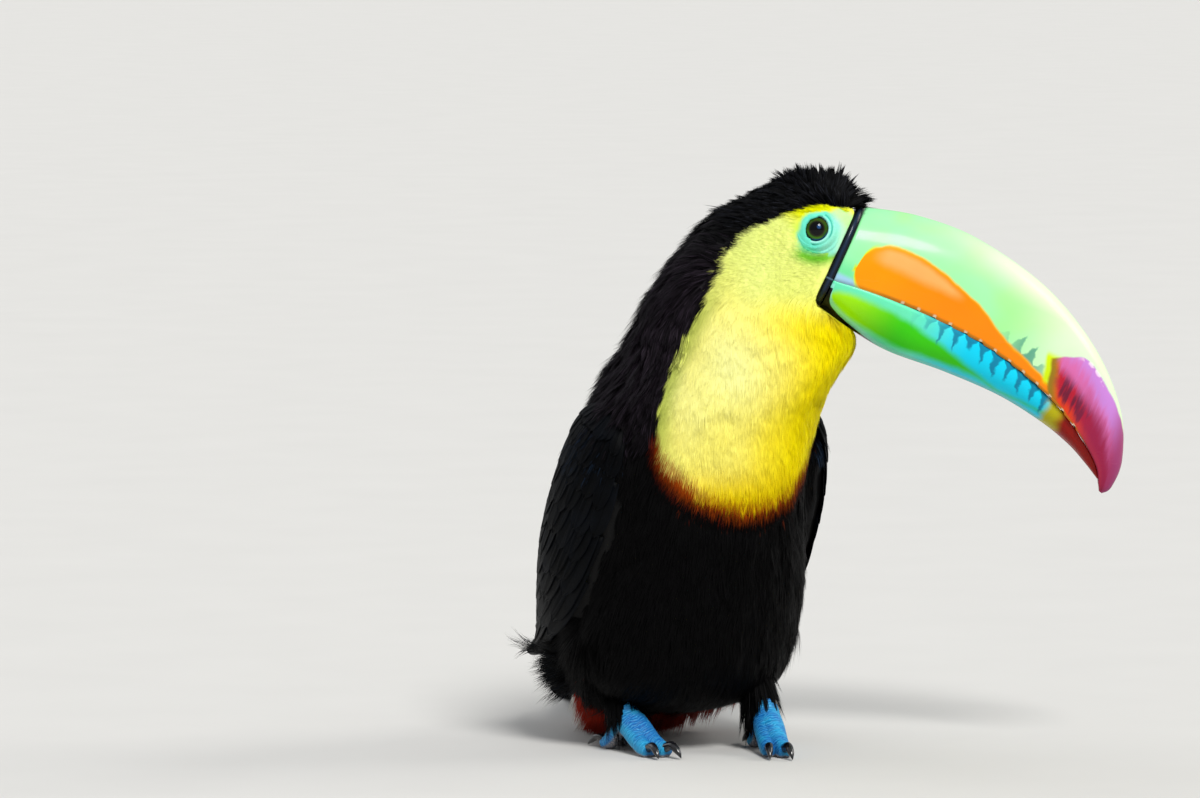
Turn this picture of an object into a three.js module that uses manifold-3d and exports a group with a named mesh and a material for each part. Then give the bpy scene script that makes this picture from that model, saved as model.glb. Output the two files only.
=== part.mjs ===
// A life-size keel-billed toucan standing on its two feet, its head turned to its left and its tail laid on the floor.
// Millimetres, +Z up. The trunk faces -Y, so the bird's own left is +X. The floor is z = 0.
import * as THREE from "three";
import { mergeVertices } from "three/addons/utils/BufferGeometryUtils.js";
import Module from "manifold-3d";

const wasm = await Module();
wasm.setup();

// ---- driving dimensions ----
const cut = 0.3; // clearance between neighbouring solids
const headTurn = 60; // degrees from straight ahead, to the bird's left
const billPitch = 25; // degrees below level
const gape = new THREE.Vector3(37, -37.5, 192.5); // corner of the mouth, in the head's middle plane
const bandWidth = 3.2; // black band round the root of the bill
const eyeRadius = 6.6;
const eyePlace = { x: -14.8, y: 15.4, z: 15.4 }; // from the gape: forward, sideways, up
const eyeTilt = { forward: 5, up: 7 }; // degrees the eye looks forward and up
const neckRoot = 140; // height of the cut between trunk and neck
const headRoot = 178; // height of the cut between neck and head
const tailLength = 158;
const tailTurn = 28; // degrees to the bird's left
const tarsusLength = 40;
const ringSteps = 24;

// Flesh and coat as level slices: centre, half width, reach to the front and to the back, turn to the left,
// and how square the oval is.
const bodySlices = [
  { z: 13, x: -2, y: 23, side: 13, fore: 13, aft: 15, turn: 0, square: 2 },
  { z: 17, x: -2, y: 22, side: 34, fore: 33, aft: 36, turn: 0, square: 2 },
  { z: 27, x: -2, y: 21.5, side: 46, fore: 44, aft: 47, turn: 0, square: 2 },
  { z: 42, x: -1.5, y: 20, side: 50.5, fore: 48.5, aft: 50, turn: 0, square: 2 },
  { z: 64, x: -1.5, y: 16.5, side: 51, fore: 51.5, aft: 49, turn: 0, square: 2 },
  { z: 92, x: -4, y: 11, side: 50, fore: 52, aft: 48, turn: 0, square: 2 },
  { z: 118, x: -4.5, y: 5, side: 49.5, fore: 51, aft: 47, turn: 3, square: 2 },
  { z: 138, x: -3, y: -1, side: 51.5, fore: 49.5, aft: 46, turn: 15, square: 2 },
  { z: 153, x: 1, y: -8.5, side: 45, fore: 50.5, aft: 49.5, turn: 38, square: 2 },
  { z: 166, x: 4.5, y: -15.5, side: 35, fore: 51, aft: 46.5, turn: 57, square: 2.1 },
  { z: 180, x: 3, y: -16.5, side: 27, fore: 50, aft: 39, turn: 60, square: 2.2 },
  { z: 196, x: 8.5, y: -21, side: 23, fore: 48, aft: 35.5, turn: 60, square: 2.4 },
  { z: 211, x: 17, y: -26, side: 20.5, fore: 44, aft: 34, turn: 60, square: 2.5 },
  { z: 224, x: 26.5, y: -31.5, side: 17.5, fore: 31, aft: 29, turn: 60, square: 2.3 },
  { z: 233, x: 30, y: -33.5, side: 12, fore: 19, aft: 18.5, turn: 60, square: 2 },
  { z: 238, x: 30.5, y: -34, side: 4, fore: 6, aft: 6, turn: 60, square: 2 },
];

// The bill in the head's middle plane, from the gape: forward and up. The three lines share their stations.
const culmenLine = [[-0.5, 31], [20, 36.8], [46, 38.6], [79, 32.6], [107, 19], [127, 1], [136.5, -17], [137.5, -29], [135, -33]];
const upperEdge = [[-0.5, 0], [20, 2.4], [44, 3.1], [69, 1.2], [95, -5.2], [114, -14], [127, -23], [132, -30], [133.5, -32.6]];
const lowerEdge = [[-0.5, 0], [20, 2], [44, 2.7], [66, 1.2], [88, -3.6], [106, -10.2], [118, -17], [126, -22.6], [130.5, -27.4]];
const gonysLine = [[-0.5, -11.5], [14, -14.6], [32, -16.9], [56, -15], [80, -14.4], [100, -16.8], [114, -20.4], [124, -24.8], [131, -28.6]];
const billHalfWidth = [17.4, 17.6, 16.6, 14.6, 12, 9, 6, 3.4, 1.2];

// Right wing as stations from shoulder to tip: place, outward direction, chord and thickness.
const wingStations = [
  { x: 42, y: -7, z: 144, nx: 0.75, ny: -0.3, nz: 0.6, chord: 14, thick: 5 },
  { x: 48, y: -1, z: 130, nx: 0.92, ny: -0.12, nz: 0.35, chord: 42, thick: 14 },
  { x: 51, y: 12, z: 107, nx: 1, ny: 0.12, nz: 0.12, chord: 56, thick: 15 },
  { x: 49.5, y: 30, z: 82, nx: 0.95, ny: 0.32, nz: 0.1, chord: 58, thick: 14 },
  { x: 41, y: 50, z: 61, nx: 0.8, ny: 0.55, nz: 0.2, chord: 49, thick: 11 },
  { x: 28, y: 71, z: 47, nx: 0.6, ny: 0.5, nz: 0.6, chord: 34, thick: 7 },
  { x: 19, y: 90, z: 39, nx: 0.4, ny: 0.25, nz: 0.9, chord: 21, thick: 4 },
  { x: 14, y: 106, z: 33.5, nx: 0.25, ny: 0.15, nz: 0.95, chord: 7, thick: 1.8 },
];
const wingMiddle = -3; // the wings mirror each other about this x
const wingCut = { y: 30, z: 82 }; // where coverts give way to flight feathers

// Rump with the upper and lower tail coverts, from trunk to tail.
const rumpStations = [
  { x: -3, y: 36, z: 30, half: 26, rise: 18, drop: 16 },
  { x: -1, y: 52, z: 27, half: 31, rise: 23, drop: 24 },
  { x: 5, y: 70, z: 23.5, half: 26.5, rise: 19, drop: 21.5 },
  { x: 13, y: 87, z: 19, half: 19.5, rise: 13, drop: 16.5 },
  { x: 21, y: 102, z: 15, half: 13.5, rise: 8, drop: 11.5 },
  { x: 27, y: 114, z: 12.5, half: 7, rise: 5, drop: 7 },
];
const tailRoot = new THREE.Vector3(4, 66, 29);

// Feet: place of the toe joint, heading of the middle toe, and for each toe its heading, length and thickness.
const toeJointHeight = 13.5;
const feet = [
  { name: "right", x: -32, y: 9, heading: 0 },
  { name: "left", x: 18, y: -17, heading: -22 },
];
const toes = [
  { name: "inner", heading: -9, length: 22, radius: 3.2 },
  { name: "outer", heading: 12, length: 26, radius: 3.4 },
  { name: "back_inner", heading: 196, length: 13, radius: 2.7 },
  { name: "back_outer", heading: 158, length: 19, radius: 3 },
];
const clawLength = 9;
const sinkOfPads = 1; // how far each round pad is flattened against the floor

const degrees = Math.PI / 180;
const headPlace = new THREE.Matrix4()
  .makeTranslation(gape)
  .multiply(new THREE.Matrix4().makeRotationZ((headTurn - 90) * degrees))
  .multiply(new THREE.Matrix4().makeRotationY(billPitch * degrees));

const finishes = {
  black: new THREE.MeshStandardMaterial({ color: 0x0b0a0c, roughness: 0.75 }),
  yellow: new THREE.MeshStandardMaterial({ color: 0xf2e23a, roughness: 0.8 }),
  rump: new THREE.MeshStandardMaterial({ color: 0x9a2412, roughness: 0.8 }),
  bill: new THREE.MeshStandardMaterial({ color: 0x9fe59a, roughness: 0.3 }),
  band: new THREE.MeshStandardMaterial({ color: 0x101318, roughness: 0.4 }),
  skin: new THREE.MeshStandardMaterial({ color: 0x7fe0c0, roughness: 0.5 }),
  eye: new THREE.MeshStandardMaterial({ color: 0x15180c, roughness: 0.08 }),
  foot: new THREE.MeshStandardMaterial({ color: 0x3a8fd0, roughness: 0.55 }),
  claw: new THREE.MeshStandardMaterial({ color: 0x121318, roughness: 0.25 }),
};

// ---- shape tools ----

// A smooth value through evenly spaced rows: plain numbers, [x, y] pairs or objects of named numbers.
function through(rows, t) {
  const place = THREE.MathUtils.clamp(t, 0, 1) * (rows.length - 1);
  const i = Math.min(Math.floor(place), rows.length - 2);
  const part = place - i;
  const row = (k) => rows[THREE.MathUtils.clamp(k, 0, rows.length - 1)];
  const blend = (pick) => {
    const [a, b, c, d] = [pick(row(i - 1)), pick(row(i)), pick(row(i + 1)), pick(row(i + 2))];
    const bend = 2 * a - 5 * b + 4 * c - d + part * (3 * (b - c) + d - a);
    return b + 0.5 * part * (c - a + part * bend);
  };
  if (typeof rows[0] === "number") return blend((r) => r);
  if (Array.isArray(rows[0])) return rows[0].map((_, k) => blend((r) => r[k]));
  return Object.fromEntries(Object.keys(rows[0]).map((key) => [key, blend((r) => r[key])]));
}

// A closed solid through rings of equal count, with a fan over each end.
function loft(rings) {
  const count = rings[0].length;
  const last = rings.length - 1;
  const points = rings.flat();
  const middle = (ring) => ring.reduce((sum, p) => sum.add(p), new THREE.Vector3()).divideScalar(count);
  const startCap = points.push(middle(rings[0])) - 1;
  const endCap = points.push(middle(rings[last])) - 1;
  const faces = [];
  for (let k = 0; k < count; k++) {
    const next = (k + 1) % count;
    for (let j = 0; j < last; j++) {
      const [a, b] = [j * count, (j + 1) * count];
      faces.push([a + k, a + next, b + next], [a + k, b + next, b + k]);
    }
    faces.push([startCap, next, k], [endCap, last * count + k, last * count + next]);
  }
  const volume = faces.reduce(
    (sum, [a, b, c]) => sum + points[a].dot(new THREE.Vector3().crossVectors(points[b], points[c])),
    0,
  );
  const outward = volume > 0 ? faces : faces.map(([a, b, c]) => [a, c, b]);
  const geometry = new THREE.BufferGeometry().setFromPoints(points);
  return solidOf(geometry.setIndex(outward.flat()));
}

function solidOf(geometry, place) {
  const bare = geometry.clone();
  bare.deleteAttribute("normal");
  bare.deleteAttribute("uv");
  if (place) bare.applyMatrix4(place);
  const merged = mergeVertices(bare, 1e-4);
  return new wasm.Manifold(
    new wasm.Mesh({
      numProp: 3,
      vertProperties: new Float32Array(merged.attributes.position.array),
      triVerts: new Uint32Array(merged.index.array),
    }),
  );
}

function meshOf(name, solid, material) {
  const made = solid.getMesh();
  const geometry = new THREE.BufferGeometry();
  geometry.setAttribute("position", new THREE.BufferAttribute(new Float32Array(made.vertProperties), 3));
  geometry.setIndex(new THREE.BufferAttribute(new Uint32Array(made.triVerts), 1));
  geometry.computeVertexNormals();
  const mesh = new THREE.Mesh(geometry, material);
  mesh.name = name;
  return mesh;
}

const inHead = (x, y, z) => new THREE.Vector3(x, y, z).applyMatrix4(headPlace);
const union = (solids) => solids.reduce((whole, s) => whole.add(s));
const heading = (angle) => new THREE.Vector3(Math.sin(angle * degrees), -Math.cos(angle * degrees), 0);

// A point of the unit oval, from a circle (2) towards a square with round corners (above 2).
function ovalAt(angle, square) {
  const [c, s] = [Math.cos(angle), Math.sin(angle)];
  const reach = Math.pow(Math.pow(Math.abs(c), square) + Math.pow(Math.abs(s), square), -1 / square);
  return [c * reach, s * reach];
}

// ---- trunk, neck and head ----

function bodyRing(slice) {
  const forward = heading(slice.turn);
  const left = new THREE.Vector3(-forward.y, forward.x, 0);
  return Array.from({ length: ringSteps }, (_, k) => {
    const [side, along] = ovalAt((2 * Math.PI * k) / ringSteps, slice.square);
    return new THREE.Vector3(slice.x, slice.y, slice.z)
      .addScaledVector(left, slice.side * side)
      .addScaledVector(forward, (along > 0 ? slice.fore : slice.aft) * along);
  });
}

function bodySolid() {
  const levels = 22;
  return loft(Array.from({ length: levels + 1 }, (_, j) => bodyRing(through(bodySlices, j / levels))));
}

// ---- bill ----

const billSteps = 17;
const billSideSteps = 6;

// Half of a bill section: from its edge, at full width, to its ridge, growing narrower like a keel.
function billRing(edge, ridge, half, fullness) {
  const ring = [];
  for (let k = -billSideSteps; k <= billSideSteps; k++) {
    const rise = 1 - Math.abs(k) / billSideSteps;
    const eased = Math.sin((rise * Math.PI) / 2);
    const width = half * Math.pow(Math.max(0, 1 - Math.pow(eased, fullness)), 0.5);
    const [x, z] = [0, 1].map((i) => THREE.MathUtils.lerp(edge[i], ridge[i], eased));
    ring.push(inHead(x, Math.sign(k) * width, z));
  }
  return ring;
}

function billSolid(edgeLine, ridgeLine, fullness, grow) {
  const rings = [];
  for (let j = 0; j <= billSteps; j++) {
    const t = j / billSteps;
    const edge = through(edgeLine, t);
    const ridge = through(ridgeLine, t);
    const depth = Math.hypot(ridge[0] - edge[0], ridge[1] - edge[1]);
    const out = [0, 1].map((i) => ((ridge[i] - edge[i]) / depth) * grow);
    const half = through(billHalfWidth, t) + grow;
    rings.push(billRing([edge[0] - out[0], edge[1] - out[1]], [ridge[0] + out[0], ridge[1] + out[1]], half, fullness));
  }
  return loft(rings);
}

// The band wraps both halves of the bill's root; grown, it is the pocket in the head that the bill sits in.
function bandSolid(grow, front) {
  const ring = (x) => {
    const upper = billRing([x, 0], [x, culmenLine[0][1] + grow], billHalfWidth[0] + grow, 2.6);
    const lower = billRing([x, 0], [x, gonysLine[0][1] - grow], billHalfWidth[0] + grow, 2.2);
    return [...upper, ...lower.reverse().slice(1, -1)];
  };
  return loft([ring(-bandWidth - 0.6 - grow), ring(front + grow)]);
}

// ---- eyes ----

function eyeParts(side) {
  const centre = inHead(eyePlace.x, side * eyePlace.y, eyePlace.z);
  const ball = (radius) => solidOf(new THREE.SphereGeometry(radius, 12, 8), new THREE.Matrix4().makeTranslation(centre));
  const looks = new THREE.Vector3(
    Math.sin(eyeTilt.forward * degrees),
    side * Math.cos(eyeTilt.forward * degrees) * Math.cos(eyeTilt.up * degrees),
    Math.sin(eyeTilt.up * degrees),
  ).normalize();
  const ringPlace = headPlace.clone()
    .multiply(new THREE.Matrix4().makeTranslation(eyePlace.x, side * eyePlace.y, eyePlace.z))
    .multiply(new THREE.Matrix4().makeRotationFromQuaternion(
      new THREE.Quaternion().setFromUnitVectors(new THREE.Vector3(0, 0, 1), looks),
    ))
    .multiply(new THREE.Matrix4().makeTranslation(0, 0, 4.2));
  const lid = (grow) => solidOf(new THREE.TorusGeometry(6, 1.4 + grow, 5, 14), ringPlace);
  return { ball: ball(eyeRadius), ballGrown: ball(eyeRadius + cut), lid: lid(0), lidGrown: lid(cut) };
}

// ---- wings ----

function wingSolid(side, grow) {
  const levels = 12;
  const around = 12;
  const at = (t) => {
    const s = through(wingStations, t);
    return new THREE.Vector3(wingMiddle + side * s.x, s.y, s.z);
  };
  return loft(Array.from({ length: levels + 1 }, (_, j) => {
    const t = j / levels;
    const s = through(wingStations, t);
    const along = at(Math.min(t + 0.02, 1)).sub(at(Math.max(t - 0.02, 0))).normalize();
    const out = new THREE.Vector3(side * s.nx, s.ny, s.nz);
    out.addScaledVector(along, -out.dot(along)).normalize();
    const across = new THREE.Vector3().crossVectors(along, out);
    return Array.from({ length: around }, (_, k) => {
      const angle = (2 * Math.PI * k) / around;
      const width = (s.chord / 2 + grow) * Math.cos(angle);
      const height = (s.thick / 2 + grow) * Math.sin(angle) - (width * width) / 95;
      return at(t).addScaledVector(across, width).addScaledVector(out, height);
    });
  }));
}

// ---- rump and tail ----

const tailHeading = new THREE.Vector3(Math.sin(tailTurn * degrees), Math.cos(tailTurn * degrees), 0);
const tailAcross = new THREE.Vector3(tailHeading.y, -tailHeading.x, 0);

function rumpSolid(grow) {
  const levels = 7;
  const around = 18;
  return loft(Array.from({ length: levels + 1 }, (_, j) => {
    const s = through(rumpStations, j / levels);
    return Array.from({ length: around }, (_, k) => {
      const [across, up] = ovalAt((2 * Math.PI * k) / around, 2.5);
      return new THREE.Vector3(s.x + (s.half + grow) * across, s.y, s.z + ((up > 0 ? s.rise : s.drop) + grow) * up);
    });
  }));
}

// One tail feather: a thin blade that sweeps down from the root and lies flat at its end.
function tailFeather(order, grow) {
  const steps = 5;
  const fan = order * 1.5 * degrees;
  const length = tailLength - 2.2 * Math.abs(order) ** 1.3;
  const rings = Array.from({ length: steps + 1 }, (_, j) => {
    const t = j / steps;
    const run = length * t;
    const rise = (tailRoot.z - 2.4) * Math.pow(1 - Math.min(1, t / 0.86), 1.6);
    const rounding = Math.sqrt(Math.max(0.04, 1 - Math.pow(Math.max(0, t - 0.88) / 0.12, 2)));
    const half = (5.5 + 4.8 * Math.sin(Math.min(1, t * 1.5) * Math.PI / 2)) * rounding;
    const middle = tailRoot.clone().setZ(1.35 + rise + 0.28 * (4.5 - Math.abs(order)) * (1 - 0.6 * t))
      .addScaledVector(tailHeading, run * Math.cos(fan))
      .addScaledVector(tailAcross, order * 1.3 + run * Math.sin(fan));
    const droop = 0.05 * Math.abs(order);
    const thick = 1.2 + grow;
    return [[-1, -1], [0, -1], [1, -1], [1, 0.4], [0, 1], [-1, 0.4]].map(([a, b]) =>
      middle.clone().addScaledVector(tailAcross, a * (half + grow)).add(new THREE.Vector3(0, 0, b * thick - droop)),
    );
  });
  return loft(rings);
}

const tailOrders = Array.from({ length: 10 }, (_, k) => k - 4.5);
const tailSolid = (grow) => union(tailOrders.map((order) => tailFeather(order, grow)));

// ---- legs and feet ----

// A tube along a curve, with a radius that follows the given rows.
function tube(points, radii, grow, steps, around) {
  const curve = new THREE.CatmullRomCurve3(points);
  const frames = curve.computeFrenetFrames(steps);
  return loft(Array.from({ length: steps + 1 }, (_, j) => {
    const radius = through(radii, j / steps) + grow;
    const place = curve.getPointAt(j / steps);
    return Array.from({ length: around }, (_, k) => {
      const angle = (2 * Math.PI * k) / around;
      return place.clone()
        .addScaledVector(frames.normals[j], radius * Math.cos(angle))
        .addScaledVector(frames.binormals[j], radius * Math.sin(angle));
    });
  }));
}

const toeJoint = (foot) => new THREE.Vector3(foot.x, foot.y, toeJointHeight);

// The toe arches from its joint to the floor, where its pad is flattened.
function toePoints(foot, toe) {
  const way = heading(foot.heading + toe.heading);
  const onFloor = toe.radius - sinkOfPads;
  const at = (share, height) => toeJoint(foot).addScaledVector(way, toe.length * share).setZ(height);
  return [toeJoint(foot).setZ(toeJointHeight - 1.5), at(0.3, onFloor + 5), at(0.62, onFloor + 1.2), at(1, onFloor - 0.2)];
}

function clawPoints(foot, toe) {
  const way = heading(foot.heading + toe.heading);
  const start = toePoints(foot, toe)[3];
  const at = (run, height) => start.clone().addScaledVector(way, run).setZ(height);
  return [at(-1, toe.radius), at(clawLength * 0.35, toe.radius + 1.3), at(clawLength * 0.75, toe.radius - 0.6), at(clawLength, 0.7)];
}

function footSolid(foot, grow) {
  const toeTubes = toes.map((toe) =>
    tube(toePoints(foot, toe), [toe.radius + 1.6, toe.radius + 0.5, toe.radius + 0.1, toe.radius * 0.72], grow, 5, 6),
  );
  const joint = solidOf(new THREE.SphereGeometry(6 + grow, 10, 6), new THREE.Matrix4().makeTranslation(toeJoint(foot)));
  const ankle = toeJoint(foot).add(new THREE.Vector3(0, 12, tarsusLength * 0.62));
  const tarsus = tube([toeJoint(foot), toeJoint(foot).lerp(ankle, 0.5), ankle], [4.6, 3.4, 4.2], grow, 3, 7);
  const whole = union([joint, tarsus, ...toeTubes]);
  return grow > 0 ? whole : whole.trimByPlane([0, 0, 1], 0);
}

function thighSolid(foot, grow) {
  const top = toeJoint(foot).add(new THREE.Vector3(-foot.x * 0.25, 23, 34));
  const low = toeJoint(foot).add(new THREE.Vector3(0, 5, 7));
  return tube([top, top.clone().lerp(low, 0.5), low], [16, 13.5, 10, 5.6], grow, 4, 12);
}

// ---- assembly ----

const toucan = new THREE.Group();
const put = (name, solid, material) => toucan.add(meshOf(name, solid, material));
const below = (solid, height) => solid.trimByPlane([0, 0, -1], -height + cut / 2);
const above = (solid, height) => solid.trimByPlane([0, 0, 1], height + cut / 2);

const billUpper = billSolid(upperEdge, culmenLine, 2.6, 0);
const billLower = billSolid(lowerEdge, gonysLine, 2.2, 0);
const billPocket = union([
  billSolid(upperEdge, culmenLine, 2.6, cut),
  billSolid(lowerEdge, gonysLine, 2.2, cut),
  bandSolid(cut, 0),
]);
const frontOfFace = solidOf(
  new THREE.BoxGeometry(80, 120, 90),
  headPlace.clone().multiply(new THREE.Matrix4().makeTranslation(40 - bandWidth - 0.6 - cut, 0, 35)),
);
const eyeRight = eyeParts(-1);
const eyeLeft = eyeParts(1);

const body = bodySolid();
const headAndUp = above(body, headRoot);
const head = [billPocket, frontOfFace, eyeRight.ballGrown, eyeRight.lidGrown, eyeLeft.ballGrown, eyeLeft.lidGrown]
  .reduce((whole, cutter) => whole.subtract(cutter), headAndUp);
const neck = below(above(body, neckRoot), headRoot).subtract(billPocket).subtract(frontOfFace);

const wings = { right: wingSolid(-1, 0), left: wingSolid(1, 0) };
const wingsGrown = union([wingSolid(-1, cut), wingSolid(1, cut)]);
const thighs = feet.map((foot) => thighSolid(foot, 0));
const thighsGrown = union(feet.map((foot) => thighSolid(foot, cut)));
const footSolids = feet.map((foot) => footSolid(foot, 0));
const feetGrown = union(feet.map((foot) => footSolid(foot, cut)));
const rump = rumpSolid(0);
const trunk = [wingsGrown, thighsGrown, feetGrown, rumpSolid(cut)]
  .reduce((whole, cutter) => whole.subtract(cutter), below(body, neckRoot));

put("head", head, finishes.black);
put("neck", neck.subtract(wingsGrown), finishes.yellow);
put("trunk", trunk, finishes.black);
put("rump", rump.subtract(tailSolid(cut)).subtract(wingsGrown).subtract(thighsGrown).subtract(feetGrown), finishes.rump);
put("tail", tailSolid(0).subtract(wingsGrown).trimByPlane([0, 0, 1], 0), finishes.black);
put("bill_upper", billUpper.subtract(bandSolid(cut, -cut)), finishes.bill);
put("bill_lower", billLower.subtract(bandSolid(cut, -cut)).subtract(billSolid(upperEdge, culmenLine, 2.6, cut)), finishes.bill);
put("bill_band", bandSolid(0, -1), finishes.band);
for (const [name, eye] of [["right", eyeRight], ["left", eyeLeft]]) {
  put("eye_" + name, eye.ball, finishes.eye);
  put("eyelid_" + name, eye.lid.subtract(eye.ballGrown), finishes.skin);
}
const backOf = (solid) => solid.trimByPlane([0, 1, -0.9], wingCut.y - 0.9 * wingCut.z + cut / 2);
const frontOf = (solid) => solid.trimByPlane([0, -1, 0.9], -(wingCut.y - 0.9 * wingCut.z) + cut / 2);
for (const name of ["right", "left"]) {
  put("wing_coverts_" + name, frontOf(wings[name]), finishes.black);
  put("wing_flight_" + name, backOf(wings[name]), finishes.black);
}
feet.forEach((foot, i) => {
  put("thigh_" + foot.name, thighs[i].subtract(feetGrown), finishes.black);
  put("foot_" + foot.name, footSolids[i], finishes.foot);
  for (const toe of toes) {
    const claw = tube(clawPoints(foot, toe), [toe.radius * 0.62, toe.radius * 0.55, toe.radius * 0.4, 0.45], 0, 4, 6);
    put("claw_" + toe.name + "_" + foot.name, claw.subtract(feetGrown).trimByPlane([0, 0, 1], 0), finishes.claw);
  }
});

// The origin is the middle of the bird's box, on the floor.
const box = new THREE.Box3().setFromObject(toucan);
const middle = box.getCenter(new THREE.Vector3());
toucan.position.set(-middle.x, -middle.y, -box.min.z);

export default toucan;
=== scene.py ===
import math

import bmesh
import bpy
import numpy as np
from mathutils import Matrix, Vector
from mathutils.bvhtree import BVHTree
from mathutils.kdtree import KDTree


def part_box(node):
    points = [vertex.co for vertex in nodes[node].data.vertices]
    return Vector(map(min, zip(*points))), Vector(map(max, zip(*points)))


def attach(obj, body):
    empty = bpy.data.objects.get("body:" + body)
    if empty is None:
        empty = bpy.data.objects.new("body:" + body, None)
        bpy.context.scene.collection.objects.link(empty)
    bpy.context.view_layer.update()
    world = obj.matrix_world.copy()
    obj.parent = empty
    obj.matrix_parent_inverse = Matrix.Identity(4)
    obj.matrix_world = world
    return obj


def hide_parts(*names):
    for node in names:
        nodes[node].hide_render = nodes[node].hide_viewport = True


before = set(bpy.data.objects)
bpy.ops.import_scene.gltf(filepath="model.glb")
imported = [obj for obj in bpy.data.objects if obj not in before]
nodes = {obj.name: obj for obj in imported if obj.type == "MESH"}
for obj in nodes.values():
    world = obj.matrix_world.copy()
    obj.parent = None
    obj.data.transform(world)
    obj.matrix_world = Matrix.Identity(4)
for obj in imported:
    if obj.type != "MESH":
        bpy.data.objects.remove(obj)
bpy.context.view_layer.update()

# A life-size keel-billed toucan. Sizes are millimetres in the bird's own frame: the trunk faces -Y,
# the bird's left is +X and it stands on z = 0. placeInFrame turns them into the model's metres.
print("frame loaded:", len(nodes), "nodes")

headPlan = {
    "gape": (37, -37.5, 192.5),  # corner of the mouth, in the head's middle plane
    "turn": 60,  # degrees to the bird's left
    "pitch": 25,  # degrees below level
    "eye": (-14.8, 15.4, 15.4),  # middle of the eyeball from the gape: forward, sideways, up
    "eyeOpening": (-16.6, 16.2),  # middle of the lids' opening: forward, up
}
gape = np.array(headPlan["gape"], float)
headAxes = np.array(
    Matrix.Rotation(math.radians(headPlan["turn"] - 90), 3, "Z")
    @ Matrix.Rotation(math.radians(headPlan["pitch"]), 3, "Y")
)
sides = (("right", -1), ("left", 1))


def fromHead(points):
    return np.asarray(points, float) @ headAxes.T + gape


def toHead(points):
    return (np.asarray(points, float) - gape) @ headAxes


def eyeCentre(side):
    return fromHead(np.array(headPlan["eye"]) * (1, side, 1))


eyeLow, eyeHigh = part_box("eye_right")
frameShift = np.array((eyeLow + eyeHigh) / 2) * 1000 - eyeCentre(-1)


def placeInFrame(points):
    return (np.asarray(points, float) + frameShift) / 1000


def unit(vectors):
    return vectors / np.maximum(np.linalg.norm(vectors, axis=-1, keepdims=True), 1e-9)


def smooth(value, low, high):
    part = np.clip((np.asarray(value, float) - low) / (high - low), 0, 1)
    return part * part * (3 - 2 * part)


def changing(pair, part):
    # a pair is a value where part is 0, and its change to where part is 1
    return pair[0] + pair[1] * part


def hump(value, middle, width):
    return np.exp(-((value - middle) / width) ** 2)


def through(rows, t):
    # a smooth value through evenly spaced rows
    rows = np.asarray(rows, float)
    place = np.clip(t, 0, 1) * (len(rows) - 1)
    i = np.minimum(np.floor(place).astype(int), len(rows) - 2)
    part = place - i
    part = part[..., None] if rows.ndim > 1 else part
    a, b, c, d = (rows[np.clip(i + k, 0, len(rows) - 1)] for k in (-1, 0, 1, 2))
    bend = 2 * a - 5 * b + 4 * c - d + part * (3 * (b - c) + d - a)
    return b + 0.5 * part * (c - a + part * bend)


def fromTable(table, value):
    places, values = zip(*table)
    return np.interp(value, places, values)


def runLength(path):
    return np.concatenate(([0], np.cumsum(np.linalg.norm(np.diff(path, axis=0), axis=1))))


def ripple(points, size, seed, waves=7):
    # smooth random waves of about unit height, size millimetres long
    rng = np.random.default_rng(seed)
    total = np.zeros(np.shape(points)[:-1])
    for _ in range(waves):
        wave = unit(rng.normal(size=3)) * 2 * math.pi / (size * rng.uniform(0.7, 1.5))
        total += np.sin(points @ wave + rng.uniform(0, 2 * math.pi))
    return total / math.sqrt(waves / 2)


# Shader nodes. A Wire is an output socket that goes into sums like a number.
class Wire:
    def __init__(self, socket):
        self.socket = socket
        self.tree = socket.id_data

    def calc(self, operation, other=0.0):
        return addNode(self.tree, "Math", {0: self, 1: other}, operation=operation)

    def __add__(self, other):
        return self.calc("ADD", other)

    def __sub__(self, other):
        return self.calc("SUBTRACT", other)

    def __rsub__(self, other):
        return addNode(self.tree, "Math", {0: other, 1: self}, operation="SUBTRACT")

    def __mul__(self, other):
        return self.calc("MULTIPLY", other)

    def __truediv__(self, other):
        return self.calc("DIVIDE", other)

    def __abs__(self):
        return self.calc("ABSOLUTE")


def feed(socket, value):
    if isinstance(value, Wire):
        value.tree.links.new(value.socket, socket)
    elif socket.type == "RGBA":
        socket.default_value = (*value, 1)
    else:
        socket.default_value = value


def newNode(tree, kind, feeds, **settings):
    made = tree.nodes.new("ShaderNode" + kind)
    for key, value in settings.items():
        setattr(made, key, value)
    for key, value in feeds.items():
        feed(made.inputs[key], value)
    return made


def addNode(tree, kind, feeds, output=0, **settings):
    return Wire(newNode(tree, kind, feeds, **settings).outputs[output])


def mark(tree, name, output="Fac"):
    # a value or colour that the mesh carries
    return addNode(tree, "Attribute", {}, output, attribute_name=name)


def texture(tree, kind, feeds, **settings):
    place = addNode(tree, "TexCoord", {}, "Object")
    return addNode(tree, "Tex" + kind, {"Vector": place, **feeds}, **settings)


def noise(tree, scale, detail):
    return texture(tree, "Noise", {"Scale": scale, "Detail": detail})


def between(wire, low, high):
    # 0 to 1 becomes low to high
    return addNode(wire.tree, "MapRange", {"Value": wire, "To Min": low, "To Max": high})


def step(wire, low, high):
    feeds = {"Value": wire, "From Min": low, "From Max": high}
    return addNode(wire.tree, "MapRange", feeds, interpolation_type="SMOOTHSTEP")


def band(wire, low, high, soft):
    return step(wire, low - soft, low + soft) * step(wire, high + soft, high - soft)


def mix(first, second, factor):
    return addNode(factor.tree, "Mix", {0: factor, 6: first, 7: second}, 2, data_type="RGBA")


def mixTones(colour, palette, layers):
    # layers over a colour, each a tone's name or a colour's wire, and how much of it shows
    for tone, factor in layers:
        colour = mix(colour, palette.get(tone, tone), factor)
    return colour


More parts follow.
